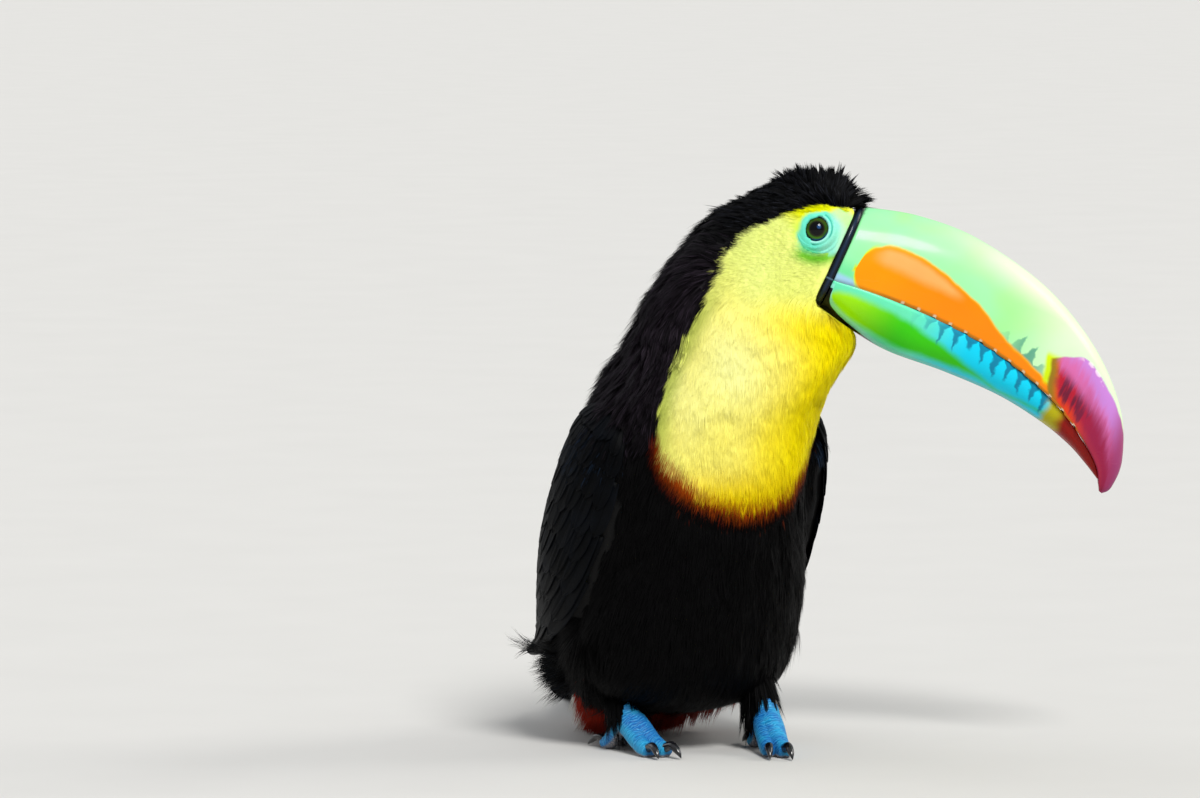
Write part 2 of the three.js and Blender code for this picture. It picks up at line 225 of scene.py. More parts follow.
def scaled(colour, factor):
    return addNode(factor.tree, "VectorMath", {0: colour, "Scale": factor}, operation="SCALE")


def relief(height, strength, distance):
    return addNode(height.tree, "Bump", {"Height": height, "Strength": strength, "Distance": distance})


def newMaterial(name):
    made = bpy.data.materials.new(name)
    made.use_nodes = True
    return made.node_tree


def setShader(tree, feeds):
    for key, value in feeds.items():
        feed(tree.nodes["Principled BSDF"].inputs[key], value)


def newGroup(name, inputs, build):
    # a shared effect: build takes the inputs' wires and gives its colour, roughness and height
    group = bpy.data.node_groups.new(name, "ShaderNodeTree")

    def addSocket(key, way):
        kind = "NodeSocketColor" if key == "Colour" else "NodeSocketFloat"
        return group.interface.new_socket(key, in_out=way, socket_type=kind)

    for key, value in inputs.items():
        addSocket(key, "INPUT").default_value = value
    given = group.nodes.new("NodeGroupInput").outputs
    results = build(group, *(Wire(given[key]) for key in inputs))
    for key in ("Colour", "Roughness", "Height"):
        addSocket(key, "OUTPUT")
    out = group.nodes.new("NodeGroupOutput")
    for socket, wire in zip(out.inputs, results):
        feed(socket, wire)


def useGroup(tree, name, feeds):
    placed = newNode(tree, "Group", feeds, node_tree=bpy.data.node_groups[name])
    return [Wire(socket) for socket in placed.outputs]


cameraPlan = {
    "bearing": 30,  # degrees round to the bird's right from straight ahead
    "above": 5,
    "distance": 2711,
    "aim": (-31.1, 32.3, 141.4),
    "lens": 200,
    "sensor": 36,
}


def linked(name, data):
    made = bpy.data.objects.new(name, data)
    bpy.context.scene.collection.objects.link(made)
    return made


def makeCamera():
    turn, rise = math.radians(cameraPlan["bearing"]), math.radians(cameraPlan["above"])
    back = Vector((-math.sin(turn) * math.cos(rise), -math.cos(turn) * math.cos(rise), math.sin(rise)))
    right = Vector((math.cos(turn), -math.sin(turn), 0))
    axes = Matrix((right, back.cross(right), back)).transposed().to_4x4()
    data = bpy.data.cameras.new("camera")
    data.lens = cameraPlan["lens"]
    data.sensor_width = cameraPlan["sensor"]
    data.clip_end = 100
    camera = linked("camera", data)
    eye = np.array(cameraPlan["aim"]) + np.array(back) * cameraPlan["distance"]
    camera.matrix_world = Matrix.Translation(placeInFrame(eye)) @ axes
    bpy.context.scene.camera = camera


stagePlan = {
    "floor": 60,  # metres across
    "paper": (0.60, 0.592, 0.575),
    "air": (0.95, 0.975, 1.0),
    "airStrength": 0.42,
    # wide soft lights: direction that they come from, strength, width in degrees and colour
    "lights": (
        ((-0.2, -1.0, 1.05), 2.85, 20, (1.0, 0.99, 0.965)),
        ((1.0, -0.35, 0.7), 0.95, 26, (1.0, 0.98, 0.94)),
        ((-0.6, 1.0, 0.9), 0.6, 50, (0.94, 0.97, 1.0)),
    ),
}


def makeStage():
    tree = newMaterial("palePaper")
    grain = addNode(tree, "TexNoise", {"Scale": 900, "Detail": 3})
    setShader(tree, {"Roughness": 0.9, "Base Color": scaled(stagePlan["paper"], between(grain, 0.97, 1.03))})
    bpy.ops.mesh.primitive_plane_add(size=stagePlan["floor"])
    floor = bpy.context.object
    floor.name = "floor"
    floor.data.materials.append(bpy.data.materials["palePaper"])
    world = bpy.data.worlds.new("air")
    world.use_nodes = True
    sky = world.node_tree.nodes["Background"]
    feed(sky.inputs["Color"], stagePlan["air"])
    feed(sky.inputs["Strength"], stagePlan["airStrength"])
    bpy.context.scene.world = world
    for i, (way, strength, wide, colour) in enumerate(stagePlan["lights"]):
        data = bpy.data.lights.new(f"softLight{i}", "SUN")
        data.energy = strength
        data.angle = math.radians(wide)
        data.color = colour
        linked(data.name, data).rotation_euler = Vector(way).to_track_quat("Z", "Y").to_euler()
    bpy.context.scene.view_settings.view_transform = "Standard"


makeCamera()
makeStage()
print("camera, floor and lights ready")


def newPiece(name, points, faces, material, slotName, replaced=(), marks=None, bakeMap=None, shadedAs=None):
    mesh = bpy.data.meshes.new(name)
    corners = np.concatenate([group.ravel() for group in faces]).astype(np.int32)
    sizes = np.concatenate([np.full(len(group), group.shape[1], np.int32) for group in faces])
    mesh.vertices.add(len(points))
    mesh.vertices.foreach_set("co", placeInFrame(points).astype(np.float32).ravel())
    mesh.loops.add(len(corners))
    mesh.loops.foreach_set("vertex_index", corners)
    mesh.polygons.add(len(sizes))
    mesh.polygons.foreach_set("loop_start", np.concatenate(([0], np.cumsum(sizes)[:-1])).astype(np.int32))
    mesh.polygons.foreach_set("use_smooth", np.ones(len(sizes), bool))
    mesh.update(calc_edges=True)
    for key, values in (marks or {}).items():
        values = np.asarray(values, np.float32)
        if values.ndim == 1:
            mesh.attributes.new(key, "FLOAT", "POINT").data.foreach_set("value", values)
        else:
            values = np.concatenate((values, np.ones((len(values), 1), np.float32)), axis=1)
            mesh.attributes.new(key, "FLOAT_COLOR", "POINT").data.foreach_set("color", values.ravel())
    if bakeMap is not None:
        layer = mesh.uv_layers.new(name="OFBake")
        layer.uv.foreach_set("vector", bakeMap[corners].astype(np.float32).ravel())
    if shadedAs is not None:
        mesh.normals_split_custom_set_from_vertices(shadedAs)
    mesh.materials.append(bpy.data.materials[material])
    piece = linked(name, mesh)
    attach(piece, "root")
    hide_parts(*replaced)


def ringFaces(rows, around):
    # quads between rows of points, each row going round
    j, k = np.meshgrid(np.arange(rows - 1), np.arange(around), indexing="ij")
    nextK = (k + 1) % around
    corners = (j * around + k, j * around + nextK, (j + 1) * around + nextK, (j + 1) * around + k)
    return np.stack(corners, -1).reshape(-1, 4)


def closedLoft(rings):
    # points and faces of a closed body through rings (rows, around, 3)
    rows, around = rings.shape[:2]
    points = np.concatenate((rings.reshape(-1, 3), rings[:1].mean(1), rings[-1:].mean(1)))
    k = np.arange(around)
    nextK, first, last = (k + 1) % around, np.full(around, rows * around), (rows - 1) * around
    fans = np.concatenate((
        np.stack((first, nextK, k), 1),
        np.stack((last + k, last + nextK, first + 1), 1),
    ))
    return points, [ringFaces(rows, around), fans]


def joined(bodies):
    # several closed bodies as one: points, faces and marks, each body a tuple of those
    starts = np.cumsum([0] + [len(points) for points, _, _ in bodies])
    faces = [np.concatenate([body[1][k] + start for body, start in zip(bodies, starts)]) for k in (0, 1)]
    marks = {key: np.concatenate([body[2][key] for body in bodies]) for key in bodies[0][2]}
    return np.concatenate([body[0] for body in bodies]), faces, marks


def gathered(places, values, count):
    # sums of the values (n, 3) that meet at each place
    return np.stack([np.bincount(places, values[:, axis], count) for axis in range(3)], 1)


def rowNormals(points, faces):
    # vertex normals of a quad mesh
    corner = points[faces]
    normal = np.cross(corner[:, 2] - corner[:, 0], corner[:, 3] - corner[:, 1])
    return unit(sum(gathered(faces[:, k], normal, len(points)) for k in range(4)))


# Middle line of the body: height, then its place sideways and forward or back.
bodyLine = (
    (13, -2, 23), (42, -1.5, 20), (92, -4, 11), (118, -4.5, 5), (138, -3, -1), (153, 1, -8.5),
    (166, 4.5, -15.5),
    (180, 3, -16.5), (196, 8.5, -21), (211, 17, -26), (238, 30.5, -34),
)
markings = {
    # heading of the middle of the yellow bib, by height
    "bibTurn": ((105, 1), (113, 2), (122, 4), (130, 8), (140, 13), (152, 22), (162, 33), (172, 47),
        (180, 60)),
    # half the angle that the yellow and the red under it take up, by height
    "bibHalf": (
        (101.7, -30), (102.7, 0), (104, 15), (106.6, 22), (109.4, 28), (112.6, 33), (119, 44), (127.4, 56),
        (130, 58), (140, 65), (152, 81), (162, 99), (172, 113), (180, 121), (210, 128),
    ),
    "hemHalf": (
        (96.8, -30), (97.8, 0), (98.3, 8), (99.4, 14), (102.4, 25), (106.4, 36), (114, 47),
        (124.8, 57), (129, 60),
        (134, 56), (210, 56),
    ),
    # edge of the black cap on the head, from the gape: up and forward
    "capEdge": (
        (-44, -45.4), (-27.7, -44), (-6.3, -43.6), (-0.5, -42), (4.2, -39.8), (9.1, -34.8), (13.5, -31.8),
        (16.5, -28.2), (19.7, -25.2), (23.5, -21), (26, -16.4), (27.4, -11.1), (28.9, -6.7),
        (30.5, 0), (34, 30),
    ),
    # how far the naked skin goes from the middle of the eye, by the angle from straight ahead over the top
    "naked": (
        (0, 9.6), (30, 9.8), (60, 8.7), (90, 6.8), (120, 6.4), (150, 6.4), (180, 6.6), (210, 7.2),
        (240, 8.2),
        (270, 9.2), (300, 10.2), (330, 10.2), (360, 9.6),
    ),
    # middle height of the rump, from front to back
    "rump": ((30, 30), (52, 27), (70, 23.5), (87, 19), (102, 15), (114, 12.5)),
    "rumpTop": 62,
    "ventTop": 26,
    "redHalf": 22,  # the red vent's reach to each side of the tail
}
tones = {
    "black": (0.0012, 0.0011, 0.0013),
    "nape": (0.0110, 0.0080, 0.0115),
    "cap": (0.0036, 0.0036, 0.0040),
    "yellow": (0.95, 0.84, 0.09),
    "paleYellow": (0.93, 0.92, 0.36),
    "facePale": (0.82, 0.93, 0.27),
    "brow": (0.73, 0.76, 0.001),
    "deepYellow": (0.96, 0.80, 0.001),
    "lowYellow": (0.84, 0.64, 0.001),
    "limeFringe": (0.43, 0.51, 0.08),
    "red": (0.30, 0.048, 0.002),
    "darkRed": (0.10, 0.008, 0.002),
    "white": (0.72, 0.70, 0.66),
    "ventRed": (0.26, 0.016, 0.006),
    # naked skin
    "turquoise": (0.13, 0.73, 0.54),
    "front": (0.27, 0.80, 0.62),
    "atBand": (0.50, 0.88, 0.56),
    "above": (0.50, 0.88, 0.32),
    "below": (0.10, 0.70, 0.30),
    "lime": (0.15, 0.58, 0.02),
    "behind": (0.62, 0.86, 0.07),
    "rim": (0.34, 0.82, 0.72),
    "creaseShade": (0.01, 0.36, 0.28),
    "openingShade": (0.001, 0.036, 0.028),
}
tones = {key: np.array(value) for key, value in tones.items()}
tailPlan = {
    "root": (4, 66, 29),
    "turn": 28,
    "length": 158,
    "feathers": 10,
    "fan": 1.5,  # degrees between feathers
    "spacing": 1.3,
    "half": (5.5, 4.8),  # half width of a feather at its root, and how much wider it gets
    "blade": {"thick": 0.4, "arch": 0.45, "shaft": 0.4},
}
tailTurn = math.radians(tailPlan["turn"])
tailHeading = np.array((math.sin(tailTurn), math.cos(tailTurn), 0))
tailAcross = np.array((tailHeading[1], -tailHeading[0], 0))


def layered(colour, layers):
    # layers of paint over a colour, each a tone's name and how much of it shows
    for name, part in layers:
        colour = colour + (tones[name] - colour) * part[..., None]
    return colour


def fromBodyLine(points):
    # sideways and forward or back from the body's middle line
    lineZ, lineX, lineY = np.transpose(bodyLine)
    x, y, z = np.moveaxis(points, -1, 0)
    return x - np.interp(z, lineZ, lineX), y - np.interp(z, lineZ, lineY)


def roundAngle(points):
    # heading of a point from the body's middle line
    x, y = fromBodyLine(points)
    return np.degrees(np.arctan2(x, -y))


def angleApart(angle):
    return np.abs((angle + 180) % 360 - 180)


def bibMasks(points):
    # signed millimetres inside the yellow, and inside the yellow with its red hem
    z = points[..., 2]
    away = angleApart(roundAngle(points) - fromTable(markings["bibTurn"], z))
    perDegree = np.hypot(*fromBodyLine(points)) * math.pi / 180
    yellow, hem = ((fromTable(markings[key], z) - away) * perDegree for key in ("bibHalf", "hemHalf"))
    inHead = toHead(points)
    face = inHead[..., 0] - fromTable(markings["capEdge"], inHead[..., 2])
    return yellow + (face - yellow) * smooth(z, 158, 178), hem


def fromEye(points):
    # forward and up from the middle of the eye's opening, and how far that is
    inHead = toHead(points)
    ahead, up = inHead[..., 0] - headPlan["eyeOpening"][0], inHead[..., 2] - headPlan["eyeOpening"][1]
    return ahead, up, np.hypot(ahead, up)


def bareMask(points):
    # 1 on the naked skin round the eye and along the band
    ahead, up, reach = fromEye(points)
    ring = reach / fromTable(markings["naked"], np.degrees(np.arctan2(up, ahead)) % 360)
    lores = np.hypot((ahead - 8.9) / 7.0, (up - 2) / 9.6)
    return smooth(-np.minimum(ring, lores), -1.1, -0.9)


def nakedSkinColour(points):
    ahead, up, reach = fromEye(points)
    return layered(tones["turquoise"], (
        ("front", smooth(ahead, 2.9, 8)),
        ("atBand", smooth(ahead + 0.25 * up, 8.9, 12.4)),
        ("above", smooth(up + 0.35 * ahead, 7, 11)),
        ("below", smooth(-up, 7.2, 10.0)),
        ("lime", 0.7 * smooth(-up + 0.25 * ahead, 9.5, 13)),
        ("behind", smooth(-ahead + 0.4 * up, 2.4, 5.0) * smooth(reach, 5.2, 6.4)),
    ))


def bibColour(points, yellow, patch):
    z = points[..., 2]
    toLeft = np.sin(np.radians(roundAngle(points) + 30))  # -1 to 1 across the bib
    fringe = smooth(-yellow, -9, -0.5) * smooth(z, 112, 135) * (1 - 0.5 * smooth(z, 178, 195))
    ahead, up, reach = fromEye(points)
    cheek = hump(np.hypot(ahead - 1.5, up), 12.0, 2.6) * smooth(ahead - 0.5 * up, 0, 6.5)
    colour = layered(tones["yellow"], (
        ("paleYellow", np.clip(0.25 + 0.1 * patch + 0.6 * hump(z, 158, 24), 0, 1)),
        ("deepYellow", smooth(toLeft, 0.1, 0.85) * (1 - smooth(z, 190, 205))),
        ("lowYellow", smooth(-z, -122, -106)),
    ))
    # the face: paler on the cheek, pure yellow over the eye and green under it
    return layered(colour * (1 - 0.12 * smooth(-z, -112, -102))[..., None], (
        ("limeFringe", 0.85 * fringe),
        ("facePale", 0.8 * smooth(z, 172, 190) * smooth(-reach, -60, -25)),
        ("brow", smooth(up + 0.15 * ahead, -7, 1.5) * smooth(-reach, -25, -12)),
        ("behind", smooth(-reach, -10.5, -7) * smooth(-up, 0, 4)),
        ("lime", 0.95 * cheek * smooth(-up, 2, 6)),
        ("below", 0.9 * smooth(-reach, -12.2, -9.2) * smooth(-up, 3, 7) * smooth(ahead, -5, 0)),
    ))


def coatColour(points, feathered=False):
    # colour, and the kind of plumage: black, bib, hem, rump or vent
    yellow, hem = bibMasks(points)
    patch, fine = ripple(points, 26, 1), ripple(points, 7, 2)
    x, y, z = np.moveaxis(points, -1, 0)
    colour = layered(tones["black"], (
        ("nape", smooth(z, 118, 150) * (0.75 + 0.25 * fine)),
        ("cap", smooth(z, 196, 212)),
    ))
    low = z - fromTable(markings["rump"], y) + 0.8 * patch
    isRump = (y - 40 + 0.3 * z > 20 + 1.5 * patch) & (z < markings["rumpTop"])
    isVent = (z < markings["ventTop"]) & (y > 24) & (low <= -3)
    fromTail = np.abs((points - np.array(tailPlan["root"])) @ tailAcross)
    isPale = (low > -3) | ((fromTail + patch > markings["redHalf"]) & (y - 40 > np.where(x > -3, 14, 0)))
    kind = np.full(z.shape, "black")
    hemColour = layered(tones["red"], [("darkRed", smooth(-hem, -5.0, -0.5))])
    for name, inside, tone in (
        ("hem", (hem + 0.4 * fine > 0) & (z < 140), hemColour),
        ("bib", yellow + 0.5 * fine > 0, bibColour(points, yellow, patch)),
    ):
        kind[inside] = name
        colour = np.where(inside[..., None], tone, colour)
    if not feathered:
        naked = nakedSkinColour(points)
        colour = colour + (naked - colour) * bareMask(points)[..., None]
    kind[isVent | isRump] = "vent"
    kind[isRump & (low > -3)] = "rump"
    tail = np.where(isPale[..., None], tones["white"], tones["ventRed"])
    return np.where((isRump | isVent)[..., None], tail, colour), kind


def featherBarbs(group, colour, along, variation, rootShade, barbScale):
    # uneven colour, painted shade toward the root, and fine barb lines
    lines = noise(group, barbScale, 1)
    spread = (noise(group, 260, 2) - 0.5) * variation
    shade = between(step(along, 0.0, 0.6), rootShade, 1)
    return scaled(colour, (spread + 1.0) * shade), between(lines, 0.42, 0.62), lines


newGroup("featherBarbs", {
    "Colour": (0.5, 0.5, 0.5, 1), "Along": 0.5, "Variation": 0.2, "Root Shade": 0.7, "Barb Scale": 1200.0,
}, featherBarbs)


def plumeMaterial(name, variation, rootShade, specular):
    tree = newMaterial(name)
    colour, rough, lines = useGroup(tree, "featherBarbs", {
        "Colour": mark(tree, "plumage", "Color"), "Along": mark(tree, "alongFeather"),
        "Variation": variation, "Root Shade": rootShade})
    setShader(tree, {"Base Color": colour, "Roughness": rough, "Specular IOR Level": specular,
                     "Normal": relief(lines, 0.25, 0.0003)})


plumeMaterial("blackPlume", 0.5, 0.5, 0.045)
plumeMaterial("goldPlume", 0.10, 0.93, 0.02)
plumeMaterial("redPlume", 0.35, 0.6, 0.04)
plumeMaterial("whitePlume", 0.12, 0.85, 0.05)
plumeSlots = {
    "blackPlume": "black_plumage", "goldPlume": "yellow_plumage", "redPlume": "red_plumage",
    "whitePlume": "black_plumage",
}


skinPlan = {
    # how deep the skin lies in each kind of solid
    "depth": {"head": 1.6, "neck": 2.4, "trunk": 3.0, "rump": 3.2, "thigh": 2.0, "wing": 1.5, "eyelid": 0.6},
    "crownDepth": 2.2,
    # drop of the skin under the standing feathers of the cap, from the back of the head forward
    "crownDrop": ((-60, 0), (-42, 2.2), (-20, 3.8), (-14, 3.9), (-9, 5.0), (-5, 5.4)),
    "grow": 0.45,  # closes the gaps between the solids
    "voxel": 1.5,
    "smoothing": (5, 3),  # rounds before and after the skin is moved inward
    "wayRounds": 14,  # rounds that even out the way inward
    "depthRounds": 8,
    "mostOfRoom": 0.3,  # the skin goes no deeper than this share of the flesh's thickness
    # the throat stays under this line at the root of the lower bill
    "throatRoof": ((-4, -12.0), (-0.5, -12.5), (3.2, -13.2), (8, -14.2), (15, -15.5), (24, -16.6),
        (34, -17.2)),
}
replacedFlesh = ["head", "neck", "trunk", "rump"]
replacedFlesh += [f"{part}_{side}" for part in ("thigh", "wing_coverts", "wing_flight") for side, _ in sides]
flesh = replacedFlesh + [f"eyelid_{side}" for side, _ in sides]


def underBill(points):
    # nothing of the throat lies over the root of the lower bill
    ahead, _, up = np.moveaxis(toHead(points), -1, 0)
    roof = fromTable(skinPlan["throatRoof"], ahead)
    isOver = (ahead > -3.9) & (ahead < 34) & (up > roof) & (up < 4)
    return points - headAxes[:, 2] * np.where(isOver, up - roof, 0)[..., None]


def underCrown(points, isHead):
    ahead, _, up = toHead(points).T
    drop = fromTable(skinPlan["crownDrop"], ahead) * isHead * smooth(up, 27, 37)
    return points - headAxes[:, 2] * drop[:, None]


def fleshShell():
    # one closed shell round the solids of the flesh
    gathering = bmesh.new()
    for name in flesh:
        part = bmesh.new()
        part.from_mesh(nodes[name].data)
        bmesh.ops.remove_doubles(part, verts=part.verts, dist=1e-6)
        part.normal_update()
        for vert in part.verts:
            vert.co += vert.normal * skinPlan["grow"] / 1000
        grown = bpy.data.meshes.new("grown")
        part.to_mesh(grown)
        gathering.from_mesh(grown)
        part.free()
        bpy.data.meshes.remove(grown)
    mesh = bpy.data.meshes.new("shell")
    gathering.to_mesh(mesh)
    gathering.free()
    shell = linked("shell", mesh)
    remesh = shell.modifiers.new("remesh", "REMESH")
    remesh.mode = "VOXEL"
    remesh.voxel_size = skinPlan["voxel"] / 1000
    made = bpy.data.meshes.new_from_object(shell.evaluated_get(bpy.context.evaluated_depsgraph_get()))
    points = np.zeros(len(made.vertices) * 3, np.float32)
    made.vertices.foreach_get("co", points)
    corners = np.zeros(len(made.loops), np.int32)
    made.loops.foreach_get("vertex_index", corners)
    bpy.data.objects.remove(shell)
    return points.reshape(-1, 3).astype(float) * 1000 - frameShift, corners.reshape(-1, 4)


def nearestPart(points):
    # which kind of solid each point belongs to
    corners, owners, faces = [], [], []
    for name in flesh:
        mesh = nodes[name].data
        faces += [[len(corners) + i for i in polygon.vertices] for polygon in mesh.polygons]
        corners += [tuple(np.array(v.co) * 1000 - frameShift) for v in mesh.vertices]
        owners += [name.split("_")[0]] * len(mesh.polygons)
    tree = BVHTree.FromPolygons(corners, faces)
    return np.array(owners)[[tree.find_nearest(Vector(p))[2] for p in points]]


def relax(points, pairs, rounds):
    # smooths without shrinking
    (a, b), total = pairs.T, len(points)
    count = np.bincount(a, minlength=total) + np.bincount(b, minlength=total)
    for turn in range(rounds * 2):
        near = gathered(a, points[b], total) + gathered(b, points[a], total)
        points = points + (0.5 if turn % 2 == 0 else -0.52) * (near / count[:, None] - points)
    return points


def makeSkin():
    points, faces = fleshShell()
    pairs = np.concatenate([faces[:, [k, (k + 1) % 4]] for k in range(4)])
    points = relax(points, pairs, skinPlan["smoothing"][0])
    parts = nearestPart(points)
    normals = rowNormals(points, faces)
    depth = np.zeros(len(points))
    for name, value in skinPlan["depth"].items():
        depth[parts == name] = value
    ahead, _, up = toHead(points).T
    isHead = (parts == "head") | (parts == "eyelid")
    onTop = isHead * smooth(up, 29, 34) * smooth(normals @ headAxes[:, 2], 0, 0.3)
    atBand = smooth(-ahead, 3.5, 8)
    full = (atBand + (1 - atBand) * onTop) * (1 - 0.75 * bareMask(points))
    depth = np.where(isHead, depth * full, depth)
    depth += isHead * smooth(-bibMasks(points)[0], 0, 4) * smooth(up, 5, 20) * skinPlan["crownDepth"]
    count = np.bincount(pairs[:, 0], minlength=len(points))
    inward = -normals
    for _ in range(skinPlan["wayRounds"]):
        inward = unit(inward + gathered(pairs[:, 0], inward[pairs[:, 1]], len(points)) / count[:, None])
    for _ in range(skinPlan["depthRounds"]):
        depth = 0.5 * depth + 0.5 * np.bincount(pairs[:, 0], depth[pairs[:, 1]], len(points)) / count
    tree = BVHTree.FromPolygons(points.tolist(), faces.tolist())
    room = np.full(len(points), 100.0)
    for i, (p, n) in enumerate(zip(points, normals)):
        hit = tree.ray_cast(Vector(p - n * 0.3), Vector(-n))
        if hit[0] is not None:
            room[i] = hit[3]
    # the crown stays at its depth, because only the eye sockets lie under it
    depth = np.where(onTop > 0.5, depth, np.minimum(depth, skinPlan["mostOfRoom"] * room))
    points = points + inward * (depth + skinPlan["grow"])[:, None]
    points = underCrown(relax(points, pairs, skinPlan["smoothing"][1]), isHead)
    return underBill(points), faces, parts


skinPoints, skinFaces, skinParts = makeSkin()
skinNormals = rowNormals(skinPoints, skinFaces)
skinTree = BVHTree.FromPolygons(skinPoints.tolist(), skinFaces.tolist())
skinCorners = skinPoints[skinFaces]
skinMiddle = skinCorners.mean(1)
skinCross = np.cross(skinCorners[:, 2] - skinCorners[:, 0], skinCorners[:, 3] - skinCorners[:, 1])
skinArea = np.linalg.norm(skinCross, axis=1) / 2
print("skin:", len(skinPoints), "points,", round(skinArea.sum() / 100), "square cm")


def placeSkin():
    tree = newMaterial("skinUnderCoat")
    colour, _, lines = useGroup(tree, "featherBarbs", {
        "Colour": mark(tree, "plumage", "Color"), "Along": 0.6, "Barb Scale": 500})
    setShader(tree, {"Base Color": colour, "Roughness": 0.6, "Specular IOR Level": 0.15,
                     "Normal": relief(lines, 0.4, 0.0006)})
    painted, _ = coatColour(skinPoints)
    painted[skinParts == "wing"] = tones["black"]
    newPiece("skin", skinPoints, [skinFaces], "skinUnderCoat", "black_plumage", replacedFlesh,
             {"plumage": painted})


placeSkin()


def lieOfCoat(points, normals):
    # the way that the feathers lie: back on the head, down the body and out along the tail
    y, z = points[..., 1:2], points[..., 2:3]
    high, rear = smooth(z, 165, 212), smooth(y, 5, 40) * (1 - smooth(z, 120, 160))
    lie = -headAxes[:, 0] * high + np.array((0, 0, -1.0)) * (1 - 0.75 * high)
    trunk = np.array((0, 0.4, -1.0)) * (1 - rear) + np.array((-0.05, 0.8, -0.75)) * rear
    for way, part in (
        (trunk, 1 - smooth(z, 130, 170)),
        (np.array((0, 1.0, -0.5)), 1 - smooth(z, 14, 45)),
        (tailHeading + np.array((0, 0, -0.2)), smooth(y + 0.3 * z, 48, 66) * (z < 70)),
    ):
        lie = lie * (1 - part) + way * part
    return unit(lie - normals * (lie * normals).sum(-1, keepdims=True))


def onSkin(points):
    # nearest place on the skin and its normal there
    found = [skinTree.find_nearest(Vector(p)) for p in points]
    return np.array([f[0] for f in found]), unit(skinNormals[skinFaces[[f[2] for f in found]]].mean(1))


def unwrap(points):
    # the skin unrolled round the bird's upright line, from 0.01 to 0.985
    z, across = points[:, 2], np.hypot(*fromBodyLine(points))
    rise = z - across * smooth(z, 185, 215) + across * (1 - smooth(z, 22, 50))
    flat = np.stack((roundAngle(points) / 360 + 0.5, rise), 1)
    low, high = flat.min(0), flat.max(0)
    return 0.01 + (flat - low) / (high - low) * 0.975


tuftDefaults = {
    "steps": 3,  # pieces that a strand bends in
    "aim": None,  # gives the way that tufts point, where they don't lie on the skin
    "reach": None,  # gives a factor of length by place
    "unruly": 3,  # degrees of random standing
    "locks": 2,  # degrees of standing in waves
    "sway": 0.12,
    "frizz": 0.1,
    "curl": 0,
    "bend": 0.75,
    "clump": None,  # tufts in a lock, and how far they close up
    "point": 0,  # how far a tuft narrows to its tip
    "cover": 0.75,  # part of a tuft's width that its strands fill
    "loose": 0.25,
    "roll": 0.1,
    "relief": 0.25,  # uneven light from strand to strand
    "evened": 0,  # how far the light falls as on a smooth body
    "fray": 1.0,  # millimetres that a marking's edge is frayed
    "tone": None,
    "tint": 0.12,
    "streak": None,  # share of the strands that carry a painted highlight, and how bright it is
}


tuftShape = {
    "stand": (2, 80),  # least and most degrees of standing
    "laneShift": 0.25,  # uneven room between strands
    "edgeShort": 0.32,  # how much shorter the strands are at a tuft's edges
    "strandReach": (0.85, 1.05),
    "widthSpread": (0.85, 1.15),
    "rootWidth": 0.35,  # a tuft fans out from this part of its width
    "sink": 0.35,  # millimetres that roots lie in the skin
    "twist": 0.2,
    "lowest": 0.3,  # nothing of the coat goes through the floor
    "bakePatch": 0.003,  # part of the map that a tuft takes up
}


def tuftRoots(plan, weight, rng):
    chosen = rng.choice(len(weight), plan["count"], p=weight / weight.sum())
    corner = skinCorners[chosen]
    u, v = rng.random((2, plan["count"], 1))
    near, far = (corner[:, a] * (1 - u) + corner[:, b] * u for a, b in ((0, 1), (3, 2)))
    return near * (1 - v) + far * v, unit(skinNormals[skinFaces[chosen]].mean(1))


def tuftPaths(plan, root, normal, rng, seed):
    # paths with the ways out of the skin and along the path, and how far each tuft stands off at its end
    count, steps = plan["count"], plan["steps"]
    length = rng.uniform(*plan["length"], count) * (1 + 0.08 * ripple(root, 14, seed + 3))
    if plan["reach"]:
        length = length * plan["reach"](root)
    stand = plan["stand"] + plan["unruly"] * rng.normal(size=count)
    stand = np.radians(np.clip(stand + plan["locks"] * ripple(root, 9, seed + 4), *tuftShape["stand"]))
    sway = plan["sway"] * ripple(root, 18, seed + 5) + plan["frizz"] * rng.normal(size=count)
    path, normals, ways = [root], [normal], []
    if plan["aim"]:
        aim = unit(plan["aim"](root, normal) + plan["frizz"] * rng.normal(size=(count, 3)))
        drop = plan["curl"] * rng.normal(size=count) * length
        for part in np.arange(1, steps + 1) / steps:
            path.append(root + aim * (length * part)[:, None] + np.outer(-drop * part ** 2, (0, 0, 1)))
        normals += [unit(normal + 0.3 * aim)] * steps
        ways = [aim] * steps
        rise = np.zeros(count)
    else:
        place, outward = root, normal
        for _ in range(steps):
            way = lieOfCoat(place, outward)
            way = unit(way + np.cross(outward, way) * sway[:, None])
            place, outward = onSkin(place + way * (length * np.cos(stand) / steps)[:, None])
            ways.append(way)
            path.append(place)
            normals.append(outward)
        rise = length * np.sin(stand)
    ways.append(ways[-1])
    return np.stack(path, 1), np.stack(normals, 1), np.stack(ways, 1), rise


def closeLocks(plan, root, path, rng):
    # neighbours close up into pointed locks
    size, pull = plan["clump"]
    count, steps = plan["count"], plan["steps"]
    leaders = rng.choice(count, count // size, replace=False)
    near = KDTree(len(leaders))
    for k, leader in enumerate(leaders):
        near.insert(Vector(root[leader]), k)
    near.balance()
    leader = leaders[[near.find(Vector(p))[1] for p in root]]
    longer = np.clip(1 + 0.19 * rng.normal(size=count)[leader], 0.6, 1.5)
    path = path[:, :1] + (path - path[:, :1]) * longer[:, None, None]
    closing = pull * (np.arange(steps + 1) / steps) ** 1.2
    return path + (path[leader] - path) * closing[:, None]


